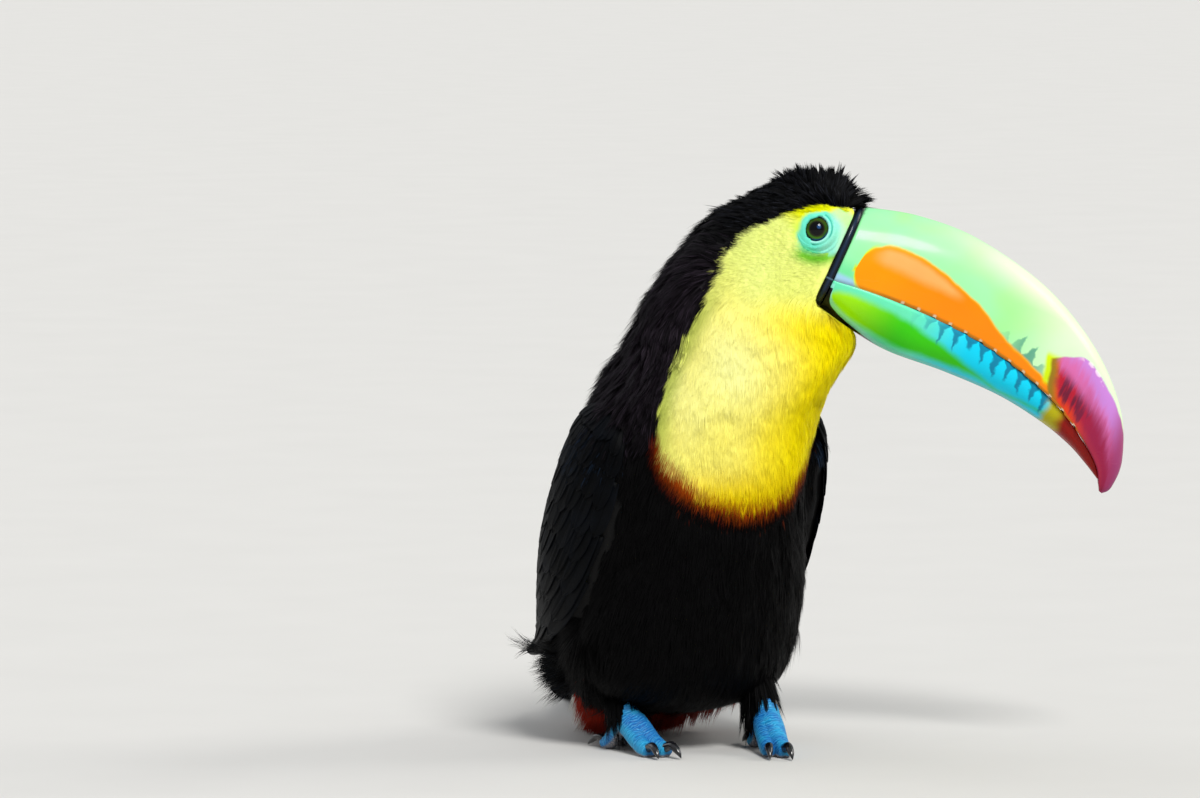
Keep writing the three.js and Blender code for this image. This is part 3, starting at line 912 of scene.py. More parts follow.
def tuftTones(plan, points, rng):
    # markings lie where the strand lies, a little uneven from strand to strand
    count, strands, size = points.shape[:3]
    along = unit(points[:, :, -1:] - points[:, :, :1])
    shift = plan["fray"] * rng.normal(size=(count, strands, 1, 1)) * along
    tone, _ = coatColour((points + shift).reshape(-1, 3), feathered=True)
    if plan["tone"]:
        tone = np.broadcast_to(tones[plan["tone"]], tone.shape)
    tint = plan["tint"] * (rng.normal(size=(count, 1, 1)) + 0.6 * rng.normal(size=(count, strands, 1)))
    tone = np.clip(tone * np.repeat(1 + tint, size, 2).reshape(-1, 1), 0, 1)
    # lighter strands: a painted highlight
    if plan["streak"]:
        share, light = plan["streak"]
        lit = (rng.random((count, strands, 1)) < share) * rng.random((count, strands, 1)) ** 1.5
        tone = tone + np.repeat(lit, size, 2).reshape(-1, 1) * np.array(light)
    return tone


def edged(first, second, last):
    # the points of strands in order: both edges of each step, then the tip
    rows = np.stack((first[:, :, :-1], second[:, :, :-1]), 3)
    return np.concatenate((rows.reshape(*rows.shape[:2], -1, 3), last[:, :, -1:]), 2)


def growTufts(name, plan, weight, material, seed):
    plan = {**tuftDefaults, **plan}
    rng = np.random.default_rng(seed)
    count, steps, strands = plan["count"], plan["steps"], plan["strands"]
    root, normal = tuftRoots(plan, weight * skinArea, rng)
    path, normals, ways, standing = tuftPaths(plan, root, normal, rng, seed)
    if plan["clump"]:
        path = closeLocks(plan, root, path, rng)
    across = unit(np.cross(normals, ways))
    shift, narrow = tuftShape["laneShift"], tuftShape["rootWidth"]
    lane = np.linspace(-1, 1, strands) + rng.uniform(-shift, shift, (count, strands))
    reach = 1 - tuftShape["edgeShort"] * lane ** 2
    reach = reach * rng.uniform(*tuftShape["strandReach"], (count, strands))
    grid = np.arange(steps + 1) / steps
    s = reach[..., None] * grid  # (count, strands, steps + 1)
    spot = np.minimum(s * steps, steps - 1e-6)
    i = spot.astype(int)
    part = (spot - i)[..., None]
    tuft = np.arange(count)[:, None, None]
    middle, out, side = (
        values[tuft, i] * (1 - part) + values[tuft, np.minimum(i + 1, steps)] * part
        for values in (path, normals, across)
    )
    out, side = unit(out), unit(side)
    width = plan["width"] * rng.uniform(*tuftShape["widthSpread"], (count, 1, 1))
    fan = narrow + (1 - narrow) * np.sin(np.minimum(1, 1.4 * s) * math.pi / 2)
    fan = fan * (1 - plan["point"] * np.minimum(s, 1) ** 1.4)
    rise = -tuftShape["sink"] + standing[:, None, None] * s ** plan["bend"]
    rise = rise + plan["loose"] * rng.normal(size=(count, strands, 1)) * s
    middle = middle + side * (lane[..., None] * width / 2 * fan)[..., None] + out * rise[..., None]
    roll = plan["roll"] * rng.normal(size=(count, strands, 1, 1))
    roll = lane[..., None, None] * tuftShape["twist"] + roll
    side = side * np.cos(roll) + out * np.sin(roll)
    half = width / strands * plan["cover"] * (0.55 + 0.45 * np.sin(np.minimum(1, 2 * grid) * math.pi / 2))
    half = side * (half * np.sqrt(np.maximum(0, 1 - grid ** 2.2)))[..., None]
    points = underBill(edged(middle - half, middle + half, middle))
    points[..., 2] = np.maximum(points[..., 2], tuftShape["lowest"])
    size = 2 * steps + 1
    base = np.arange(count * strands)[:, None] * size
    quads = [base + np.array((2 * k, 2 * k + 2, 2 * k + 3, 2 * k + 1)) for k in range(steps - 1)]
    tips = base + np.array((2 * steps - 2, 2 * steps, 2 * steps - 1))
    tone = tuftTones(plan, points, rng)
    # the light falls on a tuft nearly as on the body under it
    lifted = edged(out, out, out)
    if plan["evened"]:
        turned = np.radians(roundAngle(root))
        fromMiddle = np.stack((np.sin(turned), -np.cos(turned), np.full(count, 0.12)), 1)
        lifted = unit(lifted * (1 - plan["evened"]) + fromMiddle[:, None, None] * plan["evened"])
    uneven = plan["relief"] * rng.normal(size=(count, strands, 1, 1))
    shadedAs = unit(lifted + edged(side, side, side) * uneven)
    level = np.tile(np.append(np.repeat(grid[:-1], 2), 1.0), count * strands)
    patch = np.stack((np.repeat(0.5 + 0.45 * np.clip(lane.ravel(), -1, 1), size), level), 1)
    bakeMap = np.repeat(unwrap(root), strands * size, 0) + patch * tuftShape["bakePatch"]
    newPiece(name, points.reshape(-1, 3), [np.concatenate(quads), tips], material, plumeSlots[material], (),
             {"plumage": tone, "alongFeather": level}, bakeMap, shadedAs.reshape(-1, 3))
    print(f"{name}: {count} tufts, {count * strands * (2 * steps - 1)} triangles")


wingPlan = {
    "middle": -3,  # the wings mirror each other about this x
    # from shoulder to tip: place, outward direction, chord, thickness
    "stations": (
        (42, -7, 144, 0.75, -0.3, 0.6, 14, 5), (48, -1, 130, 0.92, -0.12, 0.35, 42, 14),
        (51, 12, 107, 1, 0.12, 0.12, 56, 15), (49.5, 30, 82, 0.95, 0.32, 0.1, 58, 14),
        (41, 50, 61, 0.8, 0.55, 0.2, 49, 11), (28, 71, 47, 0.6, 0.5, 0.6, 34, 7),
        (19, 90, 39, 0.4, 0.25, 0.9, 21, 4), (14, 106, 33.5, 0.25, 0.15, 0.95, 7, 1.8),
    ),
    "quills": 13,  # flight feathers of one wing
    "quillHalf": 6.2,
    # at the wing's back edge, and the change to its front edge
    "quillStart": (0.36, -0.06),
    "quillEnd": (0.80, 0.20),
    "quillPlace": (0.86, -1.66),
    "quillBlade": {"thick": 0.35, "arch": 0.35, "shaft": 0.3, "lean": 0.18},
    "covertRows": 8,
    "covertsInRow": 11,
    # in the row nearest the flight feathers, and the change to the row at the shoulder
    "covertStart": (0.40, -0.345),
    "covertLength": (0.155, -0.075),
    "covertHalf": (5.4, -1.6),
    "covertBlade": {"thick": 0.2, "arch": 0.4, "shaft": 0.1},
}
crownPlan = {
    # from the back of the head forward: lean in degrees, and factor of length
    "lean": ((-62, -82), (-45, -66), (-30, -42), (-20, -16), (-14, 4), (-9, 36), (-6.5, 72), (-5, 98)),
    "reach": ((-60, 1.0), (-45, 0.95), (-30, 0.88), (-20, 0.9), (-14, 1.0), (-9, 1.08), (-5, 1.15)),
}


def crownAim(points, normals):
    # the cap stands like a brush: forward over the bill's root, upright on top, laid back behind
    ahead, _, up = toHead(points).T
    lean = np.radians(fromTable(crownPlan["lean"], ahead))
    brush = headAxes[:, 0] * np.sin(lean)[:, None] + headAxes[:, 2] * np.cos(lean)[:, None]
    laid = lieOfCoat(points, normals) + 0.3 * normals
    facing = smooth(normals @ headAxes[:, 0], 0.3, 0.7) * (up > 15)
    onTop = np.maximum(smooth(up, 23, 33), facing)[:, None]
    return unit(laid * (1 - onTop) + brush * onTop)


def crownReach(points):
    return fromTable(crownPlan["reach"], toHead(points)[:, 0])


def hangingAim(points, normals):
    # loose feathers of the vent hang past the end of the flesh
    return unit(lieOfCoat(points, normals) * 0.5 + np.array((0, 0.12, -0.7)) + 0.12 * normals)


def thighAim(points, normals):
    # and those of the thigh hang over the leg
    return unit(lieOfCoat(points, normals) * 0.3 + np.array((0, -0.44, -0.9)) + 0.10 * normals)


def thighReach(points):
    return fromTable(((20, 1.3), (45, 1.1), (70, 0.9)), points[:, 2])


def plumeAim(points, normals):
    # loose plumes of the flank spread past the edge of the wing
    side = np.sign(points[:, :1] - wingPlan["middle"])
    fan = (points[:, 2:] - 27) / 36
    way = side * np.array((0.8, 0, 0)) + np.array((0, 0.52, 0)) + fan * np.array((0, 0, 1.0))
    return unit(way + 0.25 * lieOfCoat(points, normals) + 0.2 * normals)


# each streak below paints highlights on some strands: glints on the cap, nape and plumes, a blue sheen on
# the shoulder
coatPlan = {
    "crown": {
        "count": 5600, "length": (6.5, 9), "width": 1.6, "stand": 42, "strands": 5, "aim": crownAim,
        "reach": crownReach, "cover": 0.5, "roll": 0.4, "relief": 0.5, "clump": (9, 0.78), "point": 0.75,
        "tint": 0.35, "streak": (0.3, (0.016, 0.018, 0.026)), "tone": "cap",
    },
    "nape": {
        "count": 5600, "length": (9, 12), "width": 2.2, "stand": 14, "strands": 6, "locks": 3, "unruly": 4,
        "loose": 0.3, "cover": 0.45, "relief": 0.4, "tint": 0.3, "clump": (8, 0.6), "point": 0.6,
        "streak": (0.25, (0.020, 0.014, 0.022)),
    },
    "bib": {
        "count": 7800, "length": (9, 12), "width": 3.0, "stand": 8, "strands": 7, "steps": 2, "locks": 0.6,
        "unruly": 1, "sway": 0.05, "frizz": 0.04, "tint": 0.02, "cover": 0.46, "loose": 0.08, "roll": 0.05,
        "relief": 0.09, "evened": 0.65,
    },
    "face": {
        "count": 10000, "length": (4.0, 6.2), "width": 1.9, "stand": 8, "strands": 5, "steps": 2,
        "locks": 0.4, "unruly": 0.8, "frizz": 0.05, "sway": 0.04, "tint": 0.02, "cover": 0.55, "loose": 0.03,
        "roll": 0.04, "relief": 0.07, "fray": 0.5,
    },
    "hem": {
        "count": 2400, "length": (8, 11), "width": 3.0, "stand": 8, "strands": 7, "steps": 2, "cover": 0.45,
        "locks": 0.6, "unruly": 1, "relief": 0.15,
    },
    "contour": {
        "count": 4400, "length": (14, 18), "width": 4.2, "stand": 8, "strands": 7, "steps": 2, "locks": 1.2,
        "unruly": 1.5, "sway": 0.1, "loose": 0.2, "cover": 0.56, "frizz": 0.06, "relief": 0.3,
    },
    "fluff": {
        "count": 1600, "length": (17, 25), "width": 4.6, "stand": 9, "strands": 8, "locks": 4, "unruly": 4,
        "sway": 0.3, "loose": 0.8, "frizz": 0.2, "cover": 0.32, "relief": 0.4, "tone": "black",
    },
    "tailCovert": {
        "count": 2200, "length": (13, 18), "width": 4.0, "stand": 8, "strands": 7, "steps": 2, "locks": 1,
        "cover": 0.5,
    },
    "thigh": {
        "count": 2000, "length": (13, 19), "width": 2.8, "stand": 12, "strands": 6, "cover": 0.5,
        "aim": thighAim, "reach": thighReach, "point": 0.4,
    },
    "plume": {
        "count": 680, "length": (8, 17), "width": 5.0, "strands": 8, "steps": 4, "stand": 0, "frizz": 0.2,
        "curl": 0.22, "loose": 1.2, "cover": 0.2, "point": 0.3, "relief": 0.4, "aim": plumeAim,
        "streak": (0.3, (0.012, 0.018, 0.026)), "tone": "black",
    },
    "shoulder": {
        "count": 1600, "length": (8, 12), "width": 3.0, "stand": 12, "strands": 6, "steps": 2, "locks": 1,
        "cover": 0.5, "relief": 0.3, "streak": (0.8, (0.008, 0.020, 0.042)),
    },
}
coatPlan["back"] = {**coatPlan["contour"], "tone": "black"}
coatPlan["undertail"] = {**coatPlan["tailCovert"], "length": (15, 21), "aim": hangingAim, "cover": 0.45}


def makeCoat():
    # which faces of the skin each piece of the coat grows on
    _, kind = coatColour(skinMiddle)
    x, y, z = skinMiddle.T
    ahead, _, up = toHead(skinMiddle).T
    faceNormal, facePart = unit(skinCross), skinParts[skinFaces[:, 0]]
    isWing, isThigh = facePart == "wing", facePart == "thigh"
    behindBand = (ahead > -4.7) & (up > -9.5) & (up < 30.5)
    body = ~isWing & ~isThigh & (bareMask(skinMiddle) <= 0.5) & ~behindBand
    black, gold = body & (kind == "black"), body & (kind == "bib")
    front = angleApart(roundAngle(skinMiddle)) < 100
    isHigh = smooth(z, 176, 190)
    facesBill = (ahead > -6) & (faceNormal @ headAxes[:, 0] > 0.55) & (up < 27.5)
    crown = black & (up > 4) & (z > 192) & ~facesBill
    lower = black & (z <= 128)
    low = lower & (z < 60) & (y > 12)
    edge = (isWing | black) & (z > 17) & (z < 38) & (y > 30) & (y < 63)
    edges = []
    for _, side in sides:
        toSide = faceNormal @ np.array((0.87 * side, 0.5, 0))
        onEdge = edge & (toSide > 0.3) & (side * (x - wingPlan["middle"]) > 8)
        edges.append((1 - 0.66 * smooth(z, 31, 35)) * onEdge)
    white = body & (kind == "rump") & ((x > -19) & (x < 6) | (z < 31))
    for name, plan, weight, material, seed in (
        ("crownFeathers", "crown", crown, "blackPlume", 11),
        ("napeFeathers", "nape", black & ~crown & (z > 128), "blackPlume", 12),
        ("upperBibFeathers", "bib", gold * (1 - isHigh) * (z > 142), "goldPlume", 13),
        ("lowerBibFeathers", "bib", gold & (z <= 142), "goldPlume", 24),
        ("faceFeathers", "face", gold * isHigh, "goldPlume", 14),
        ("bibHemFeathers", "hem", body & (kind == "hem"), "redPlume", 15),
        ("breastFeathers", "contour", lower & front & (z > 72), "blackPlume", 16),
        ("bellyFeathers", "contour", lower & front & (z <= 72), "blackPlume", 17),
        ("backFeathers", "back", lower & ~front & (z > 45), "blackPlume", 18),
        ("flankFeathers_right", "fluff", low & (x < -8), "blackPlume", 19),
        ("flankFeathers_left", "fluff", low & (x > -8), "blackPlume", 20),
        ("flankPlume_right", "plume", edges[0], "blackPlume", 26),
        ("flankPlume_left", "plume", edges[1], "blackPlume", 26),
        ("rumpFeathers", "tailCovert", white, "whitePlume", 21),
        ("ventFeathers", "undertail", body & (kind == "vent"), "redPlume", 22),
        ("thighFeathers", "thigh", isThigh, "blackPlume", 23),
        ("shoulderFeathers", "shoulder", isWing & (z > 116 + 0.4 * np.abs(y)), "blackPlume", 25),
    ):
        growTufts(name, coatPlan[plan], weight, material, seed)


makeCoat()


def wingAt(side, t):
    row = through(wingPlan["stations"], np.clip(t, 0, 1))
    place = row[..., :3] * (side, 1, 1)
    place[..., 0] += wingPlan["middle"]
    return place, row


def onWing(side, t, c, lift):
    # outer face of the folded wing: t from shoulder to tip, c from front (-1) to back edge (1)
    place, row = wingAt(side, t)
    along = unit(wingAt(side, t + 0.02)[0] - wingAt(side, t - 0.02)[0])
    out = row[..., 3:6] * (side, 1, 1)
    out = unit(out - along * (out * along).sum(-1, keepdims=True))
    across = np.cross(along, out) * -side
    width = row[..., 6] / 2 * c
    height = row[..., 7] / 2 * np.sqrt(np.maximum(0, 1 - c ** 2)) - width ** 2 / 95 + lift
    points = place + across * width[..., None] + out * height[..., None]
    tilt = np.arctan(-width / 47 - row[..., 7] / row[..., 6] * c / np.sqrt(np.maximum(0.15, 1 - c ** 2)))
    sideways = across * np.cos(tilt)[..., None] + out * np.sin(tilt)[..., None]
    return points, sideways, np.cross(along, sideways) * -side


vaneColumns = np.array((-1, -0.78, -0.5, -0.22, -0.06, 0.06, 0.22, 0.5, 0.78, 1))


def vaneBlade(surface, half, shade, thick, arch, shaft, lean=0):
    # one closed feather blade: arched, with a raised shaft; half is its half width down the spine
    spine, sideways, out = surface
    column = vaneColumns
    ridge = np.where(np.abs(column) < 0.1, shaft, 0) + arch * (1 - column ** 2)
    middle = spine[:, None] + sideways[:, None] * ((column + lean) * half[:, None])[..., None]
    upper = middle + out[:, None] * (ridge + thick * (1 - 0.85 * column ** 2))[None, :, None]
    lower = middle + out[:, None] * (ridge * 0.5 - shaft * 0.5)[None, :, None]
    points, faces = closedLoft(np.concatenate((upper, lower[:, ::-1]), 1))
    length = runLength(spine)
    return points, faces, {
        "alongVane": np.append(np.repeat(length, len(column) * 2), (0, length[-1])),
        "acrossVane": np.append(np.tile(np.append(column, column[::-1]), len(spine)), (0, 0)),
        "vaneShade": np.full(len(points), shade),
    }


def roundTip(t, start, least=0.12):
    return np.sqrt(np.maximum(least ** 2, 1 - (np.maximum(0, t - start) / (1 - start)) ** 2))


def vaneMaterial(name, tone, paintedSheen, glossWeight):
    # stiff feather: dark vane with slanting barbs, darker shaft, a painted blue sheen in patches and at its
    # edges, and a faint coat
    tree = newMaterial(name)
    off = abs(mark(tree, "acrossVane"))
    lines = ((mark(tree, "alongVane") - off * 5.0) * 9.0).calc("SINE")
    patches = noise(tree, 90, 3)
    vane = mix(tone, paintedSheen, step(patches, 0.3, 0.75))
    vane = mix(vane, tuple(1.3 * c for c in paintedSheen), step(off, 0.75, 1.0) * 0.5)
    vane = mix(vane, tuple(0.35 * c for c in tone), step(off, 0.09, 0.04) * 0.7)
    setShader(tree, {
        "Base Color": scaled(vane, mark(tree, "vaneShade")), "Roughness": between(patches, 0.34, 0.52),
        "Specular IOR Level": 0.035, "Coat Roughness": 0.35, "Coat Weight": glossWeight,
        "Normal": relief(lines, 0.3, 0.00012)})


vaneMaterial("quillVane", (0.0010, 0.0012, 0.0016), (0.0020, 0.0027, 0.0042), 0.01)
vaneMaterial("tailVane", (0.0012, 0.0013, 0.0016), (0.0022, 0.0030, 0.0040), 0.02)


def makeFlightFeathers(name, side):
    rng = np.random.default_rng(31 + side)
    count = wingPlan["quills"]
    s = np.linspace(0, 1, 26)
    blades = []
    for j in range(count):
        inner = j / (count - 1)  # 0 at the back edge, 1 at the front edge
        end = changing(wingPlan["quillEnd"], smooth(inner, 0, 0.75))
        t = np.linspace(changing(wingPlan["quillStart"], inner), end, 26)
        c = changing(wingPlan["quillPlace"], inner) * (1 - 0.18 * s) + 0.05 * rng.normal()
        half = np.minimum(wingPlan["quillHalf"], wingAt(side, t)[1][:, 6] * 0.30)
        half = half * (0.75 + 0.25 * np.sin(s * math.pi)) * roundTip(s, 0.86 + 0.05 * inner)
        surface = onWing(side, t, c, -1.15 + 0.09 * (count - 1 - j) + 0.25 * s)
        blades.append(vaneBlade(surface, half, 1 + 0.15 * rng.normal(), **wingPlan["quillBlade"]))
    points, faces, marks = joined(blades)
    newPiece(f"flightFeathers_{name}", points, faces, "quillVane", "black_plumage", [f"wing_flight_{name}"],
             marks)


def makeWingCoverts(name, side):
    rng = np.random.default_rng(41 + side)
    rows, inRow = wingPlan["covertRows"], wingPlan["covertsInRow"]
    s = np.linspace(0, 1, 10)
    blades = []
    for r in range(rows):
        place = r / (rows - 1)  # 0 in the row nearest the flight feathers
        for k in range(inRow - (r % 2)):
            c = -0.86 + 1.72 * (k + 0.5 * (r % 2)) / (inRow - 1) + 0.03 * rng.normal()
            long = changing(wingPlan["covertLength"], place) * rng.uniform(0.92, 1.08)
            t = changing(wingPlan["covertStart"], place) + 0.008 * rng.normal() + long * s
            surface = onWing(side, t, np.full(10, np.clip(c, -0.93, 0.93)), -1.0 + 1.25 * s + 0.02 * r)
            chord = wingAt(side, t)[1][:, 6]
            half = np.minimum(changing(wingPlan["covertHalf"], place), chord / inRow * 0.95)
            half = half * roundTip(s, 0.5) * (0.7 + 0.3 * s)
            blades.append(vaneBlade(surface, half, 1 + 0.22 * rng.normal(), **wingPlan["covertBlade"]))
    points, faces, marks = joined(blades)
    newPiece(f"wingCoverts_{name}", points, faces, "quillVane", "black_plumage", [f"wing_coverts_{name}"],
             marks)


for sideName, sideSign in sides:
    makeFlightFeathers(sideName, sideSign)
    makeWingCoverts(sideName, sideSign)
print("wings ready")


def makeTail():
    rng = np.random.default_rng(51)
    root = np.array(tailPlan["root"], float)
    t = np.linspace(0, 1, 34)
    rise = (root[2] - 2.4) * (1 - np.minimum(1, t / 0.86)) ** 1.6
    half = changing(tailPlan["half"], np.sin(np.minimum(1, t * 1.5) * math.pi / 2)) * roundTip(t, 0.88)
    blades = []
    for k in range(tailPlan["feathers"]):
        order = k - (tailPlan["feathers"] - 1) / 2
        fan = math.radians(tailPlan["fan"] * order)
        run = (tailPlan["length"] - 2.2 * abs(order) ** 1.3) * t
        spine = np.array((root[0], root[1], 0)) + tailHeading * (run * math.cos(fan))[:, None]
        spine = spine + tailAcross * (order * tailPlan["spacing"] + run * math.sin(fan))[:, None]
        spine[:, 2] = 1.0 + rise + 0.28 * (4.5 - abs(order)) * (1 - 0.6 * t)
        along = unit(np.gradient(spine, axis=0))
        sideways = np.tile(tailAcross, (len(t), 1)) + np.array((0, 0, -0.05 * order))
        sideways = unit(sideways - along * (sideways * along).sum(-1, keepdims=True))
        out = np.cross(sideways, along)
        surface = spine, sideways, out * np.sign(out[:, 2:3])
        blades.append(vaneBlade(surface, half, 1 + 0.12 * rng.normal(), **tailPlan["blade"]))
    points, faces, marks = joined(blades)
    points[:, 2] = np.maximum(points[:, 2], 0.15)
    newPiece("tailFeathers", points, faces, "tailVane", "black_plumage", ["tail"], marks)


makeTail()
print("tail ready")


billPlan = {
    # in the head's middle plane, from the gape: forward and up; the first four lines share their stations
    "culmen": (
        (-0.5, 31), (20, 36.8), (46, 38.6), (79, 32.6), (107, 19), (127, 1), (136.5, -17),
        (137.5, -29), (135, -33)),
    "upperEdge": (
        (-0.5, 0), (20, 2.4), (44, 3.1), (69, 1.2), (95, -5.2), (114, -14), (127, -23), (132, -30),
        (133.5, -32.6)),
    "lowerEdge": (
        (-0.5, 0), (20, 2), (44, 2.7), (66, 1.2), (88, -3.6), (106, -10.2), (118, -17), (126, -22.6),
        (130.5, -27.4)),
    "gonys": (
        (-0.5, -12.6), (14, -15.3), (32, -17.1), (56, -15), (80, -14.4), (100, -16.8), (114, -20.4),
        (124, -24.8),
        (131, -28.6)),
    "halfWidth": (17.4, 17.6, 16.6, 14.6, 12, 9, 6, 3.4, 1.2),
    "upperFullness": 2.6,
    "lowerFullness": 2.2,
    "rows": 170,
    "sideSteps": 26,
    "toothPitch": 7,
    "toothDepth": 0.7,
    "firstTooth": 29,
    "flamePitch": 6.2,
    # lines of the markings
    "flameBase": ((47, 18.4), (57, 14.6), (66, 9.6), (74, 5.2), (81, 3.4), (94, -1)),
    "blazeTop": (
        (5.4, 8), (6.8, 15.3), (11.5, 20.4), (16, 22.5), (22.5, 23.2), (34, 22.2), (47, 18.4), (57.5, 15.2),
        (66.5, 10.4), (74.4, 6.4), (80.3, 4.4), (94, -0.8), (104, -6.5), (118, -14)),
    "blazeBottom": ((5.4, 8), (6.2, 5.4), (8, 3.0), (10.5, 1.2), (14, -3), (118, -40)),
    "tipRear": ((-12, 103), (-6, 98), (-0.7, 95), (4, 94), (9, 92.5), (22, 92)),
    "tipTop": (
        (91, 7), (94.1, 9.2), (100.3, 12.5), (105.2, 13.8), (109, 12.6), (113.7, 9.8), (120.4, 5.2),
        (127, -0.6),
        (133, -8)),
    "grassTop": ((-1, -7), (4, -3), (14, -1.6), (30, -2.2), (48, -5), (66, -9.5), (78, -13)),
    "grassLow": ((-1, -6), (6, -10), (20, -12.8), (34, -13.8), (50, -12.4), (66, -11.6), (78, -13)),
    "lowerFlameBase": ((0, 0.4), (20, 2.4), (44, 3.1), (66, 1.6), (88, -3.2), (106, -9.8), (118, -16.6)),
    "lowerRoot": (
        (0.6, -3), (0.9, -6.1), (2.5, -9.4), (5.8, -11.3), (10.6, -13.1), (16.4, -14.7), (21.8, -16),
        (29, -17.4)),
}
bandPlan = {"width": 3.2, "bulge": 0.5}
billTones = {
    "mint": (0.30, 0.84, 0.40),
    "paleMint": (0.34, 0.86, 0.38),
    "lime": (0.38, 0.86, 0.24),
    "creamAndHighlight": (0.78, 0.96, 0.60),
    "gapeGreen": (0.10, 0.72, 0.30),
    "orange": (0.95, 0.31, 0.001),
    "deepOrange": (0.93, 0.235, 0.001),
    "peach": (0.95, 0.43, 0.13),
    "amber": (0.95, 0.46, 0.002),
    "limeEdge": (0.60, 0.80, 0.003),
    "lavender": (0.34, 0.60, 0.80),
    "teal": (0.05, 0.28, 0.20),
    "ember": (0.72, 0.10, 0.01),
    "crimson": (0.45, 0.010, 0.030),
    "brightRed": (0.75, 0.05, 0.008),
    "maroon": (0.10, 0.010, 0.035),
    "magenta": (0.60, 0.13, 0.36),
    "violet": (0.50, 0.20, 0.58),
    "plum": (0.26, 0.012, 0.06),
    "olive": (0.30, 0.17, 0.01),
    "tipGlint": (0.86, 0.66, 0.78),
    "lip": (0.62, 0.22, 0.01),
    "toothGlint": (0.95, 0.80, 0.55),
    # the lower half
    "aqua": (0.14, 0.80, 0.46),
    "leaf": (0.38, 0.90, 0.004),
    "green": (0.045, 0.64, 0.003),
    "cyan": (0.001, 0.68, 0.95),
    "darkTeal": (0.003, 0.12, 0.26),
    "edgeTeal": (0.02, 0.42, 0.32),
    "rootCyan": (0.30, 0.78, 0.72),
    "lowOlive": (0.50, 0.45, 0.005),
    "red": (0.30, 0.006, 0.003),
    "black": (0.004, 0.005, 0.008),
    # the band
    "bandBlack": (0.005, 0.007, 0.012),
    "steelSheen": (0.014, 0.030, 0.070),
    "notch": (0.10, 0.17, 0.26),
}


def billSection(edge, ridge, half, fullness, steps):
    # half of a bill section, from its edge over the ridge to the other edge
    k = np.arange(-steps, steps + 1)
    eased = np.sin((1 - np.abs(k) / steps) * math.pi / 2)
    width = np.sign(k) * half[:, None] * np.sqrt(np.maximum(0, 1 - eased ** fullness))
    x = edge[:, :1] + (ridge[:, :1] - edge[:, :1]) * eased
    z = edge[:, 1:] + (ridge[:, 1:] - edge[:, 1:]) * eased
    return np.stack((x, width, z), -1), np.broadcast_to(eased, width.shape)


def billPiece(name, rings, rise, material, slotName, node):
    # rings in the head's own frame, where the markings are laid out
    place, faces = closedLoft(rings)
    newPiece(name, fromHead(place), faces, material, slotName, [node],
             {"billPlace": place, "billRise": rise})


def makeBillHalf(half, edgeKey, ridgeKey, up):
    t = np.linspace(0, 1, billPlan["rows"]) ** 0.92
    edge, ridge, wide = (through(billPlan[key], t) for key in (edgeKey, ridgeKey, "halfWidth"))
    rings, eased = billSection(edge, ridge, wide, billPlan[half + "Fullness"], billPlan["sideSteps"])
    if half == "upper":
        tooth = (rings[..., 0] - billPlan["firstTooth"]) / billPlan["toothPitch"]
        notch = (tooth % 1) ** 3 * smooth(tooth, -0.5, 0.5) * (1 - smooth(rings[..., 0], 112, 122))
        rings[..., 2] += billPlan["toothDepth"] * notch * np.maximum(0, 1 - eased / 0.12)
    else:
        rings[..., 2] += 0.45 * np.maximum(0, 1 - eased / 0.05) * smooth(rings[..., 0], 2, 10)
    rings[..., 2] += 0.3 * hump(eased, 1, 0.02) * up * (1 - t[:, None] ** 6)  # the keel along the ridge
    rise = np.append(eased.ravel(), (0.5, 0.5))
    billPiece("bill" + half.capitalize(), rings, rise, half + "Horn", "bill_horn", "bill_" + half)


def drawnLine(along, spots, low, high):
    # height of a line drawn on the bill, from its height at a few places along it
    first, last = spots[0][0], spots[-1][0]
    part = addNode(along.tree, "MapRange", {"Value": along, "From Min": first, "From Max": last})
    curve = newNode(along.tree, "FloatCurve", {"Value": part})
    spots = [((x - first) / (last - first), (z - low) / (high - low)) for x, z in spots]
    kept = curve.mapping.curves[0].points
    kept[0].location, kept[1].location = spots[0], spots[-1]
    for spot in spots[1:-1]:
        kept.new(*spot)
    for point in kept:
        point.handle_type = "AUTO_CLAMPED"
    curve.mapping.update()
    return between(Wire(curve.outputs[0]), low, high)


def hornWear(group, colour, mottle, scratchScale):
    # faint growth waves and fine scratches of horn
    place = addNode(group, "TexCoord", {}, "Object")
    stretched = addNode(group, "Mapping", {"Vector": place, "Scale": (0.25, 0.25, 1.0)})
    scratch = addNode(group, "TexNoise", {"Vector": stretched, "Scale": scratchScale, "Detail": 4})
    waves = (noise(group, 38, 3) - 0.5) * mottle
    return scaled(colour, waves + 1.0), between(scratch, 0.14, 0.34), scratch


newGroup("hornWear", {"Colour": (0.5, 0.5, 0.5, 1), "Mottle": 0.1, "Scratch Scale": 300.0}, hornWear)


def hornMaterial(name, paint, mottle=0.25, bumpStrength=0.12, specular=0.13, coat=0.10):
    tree = newMaterial(name)
    colour, rough, height = useGroup(tree, "hornWear", {"Colour": paint(tree), "Mottle": mottle})
    setShader(tree, {
        "Base Color": colour, "Roughness": rough, "Specular IOR Level": specular, "Coat Weight": coat,
        "Coat Roughness": 0.1, "Normal": relief(height, bumpStrength, 0.0002)})


def billPlaces(tree):
    # forward, up, how far from the edge to the ridge, and an uneven shift for edges of markings
    parts = newNode(tree, "SeparateXYZ", {0: mark(tree, "billPlace", "Vector")}).outputs
    return Wire(parts["X"]), Wire(parts["Z"]), mark(tree, "billRise"), (noise(tree, 160, 3) - 0.5) * 1.6


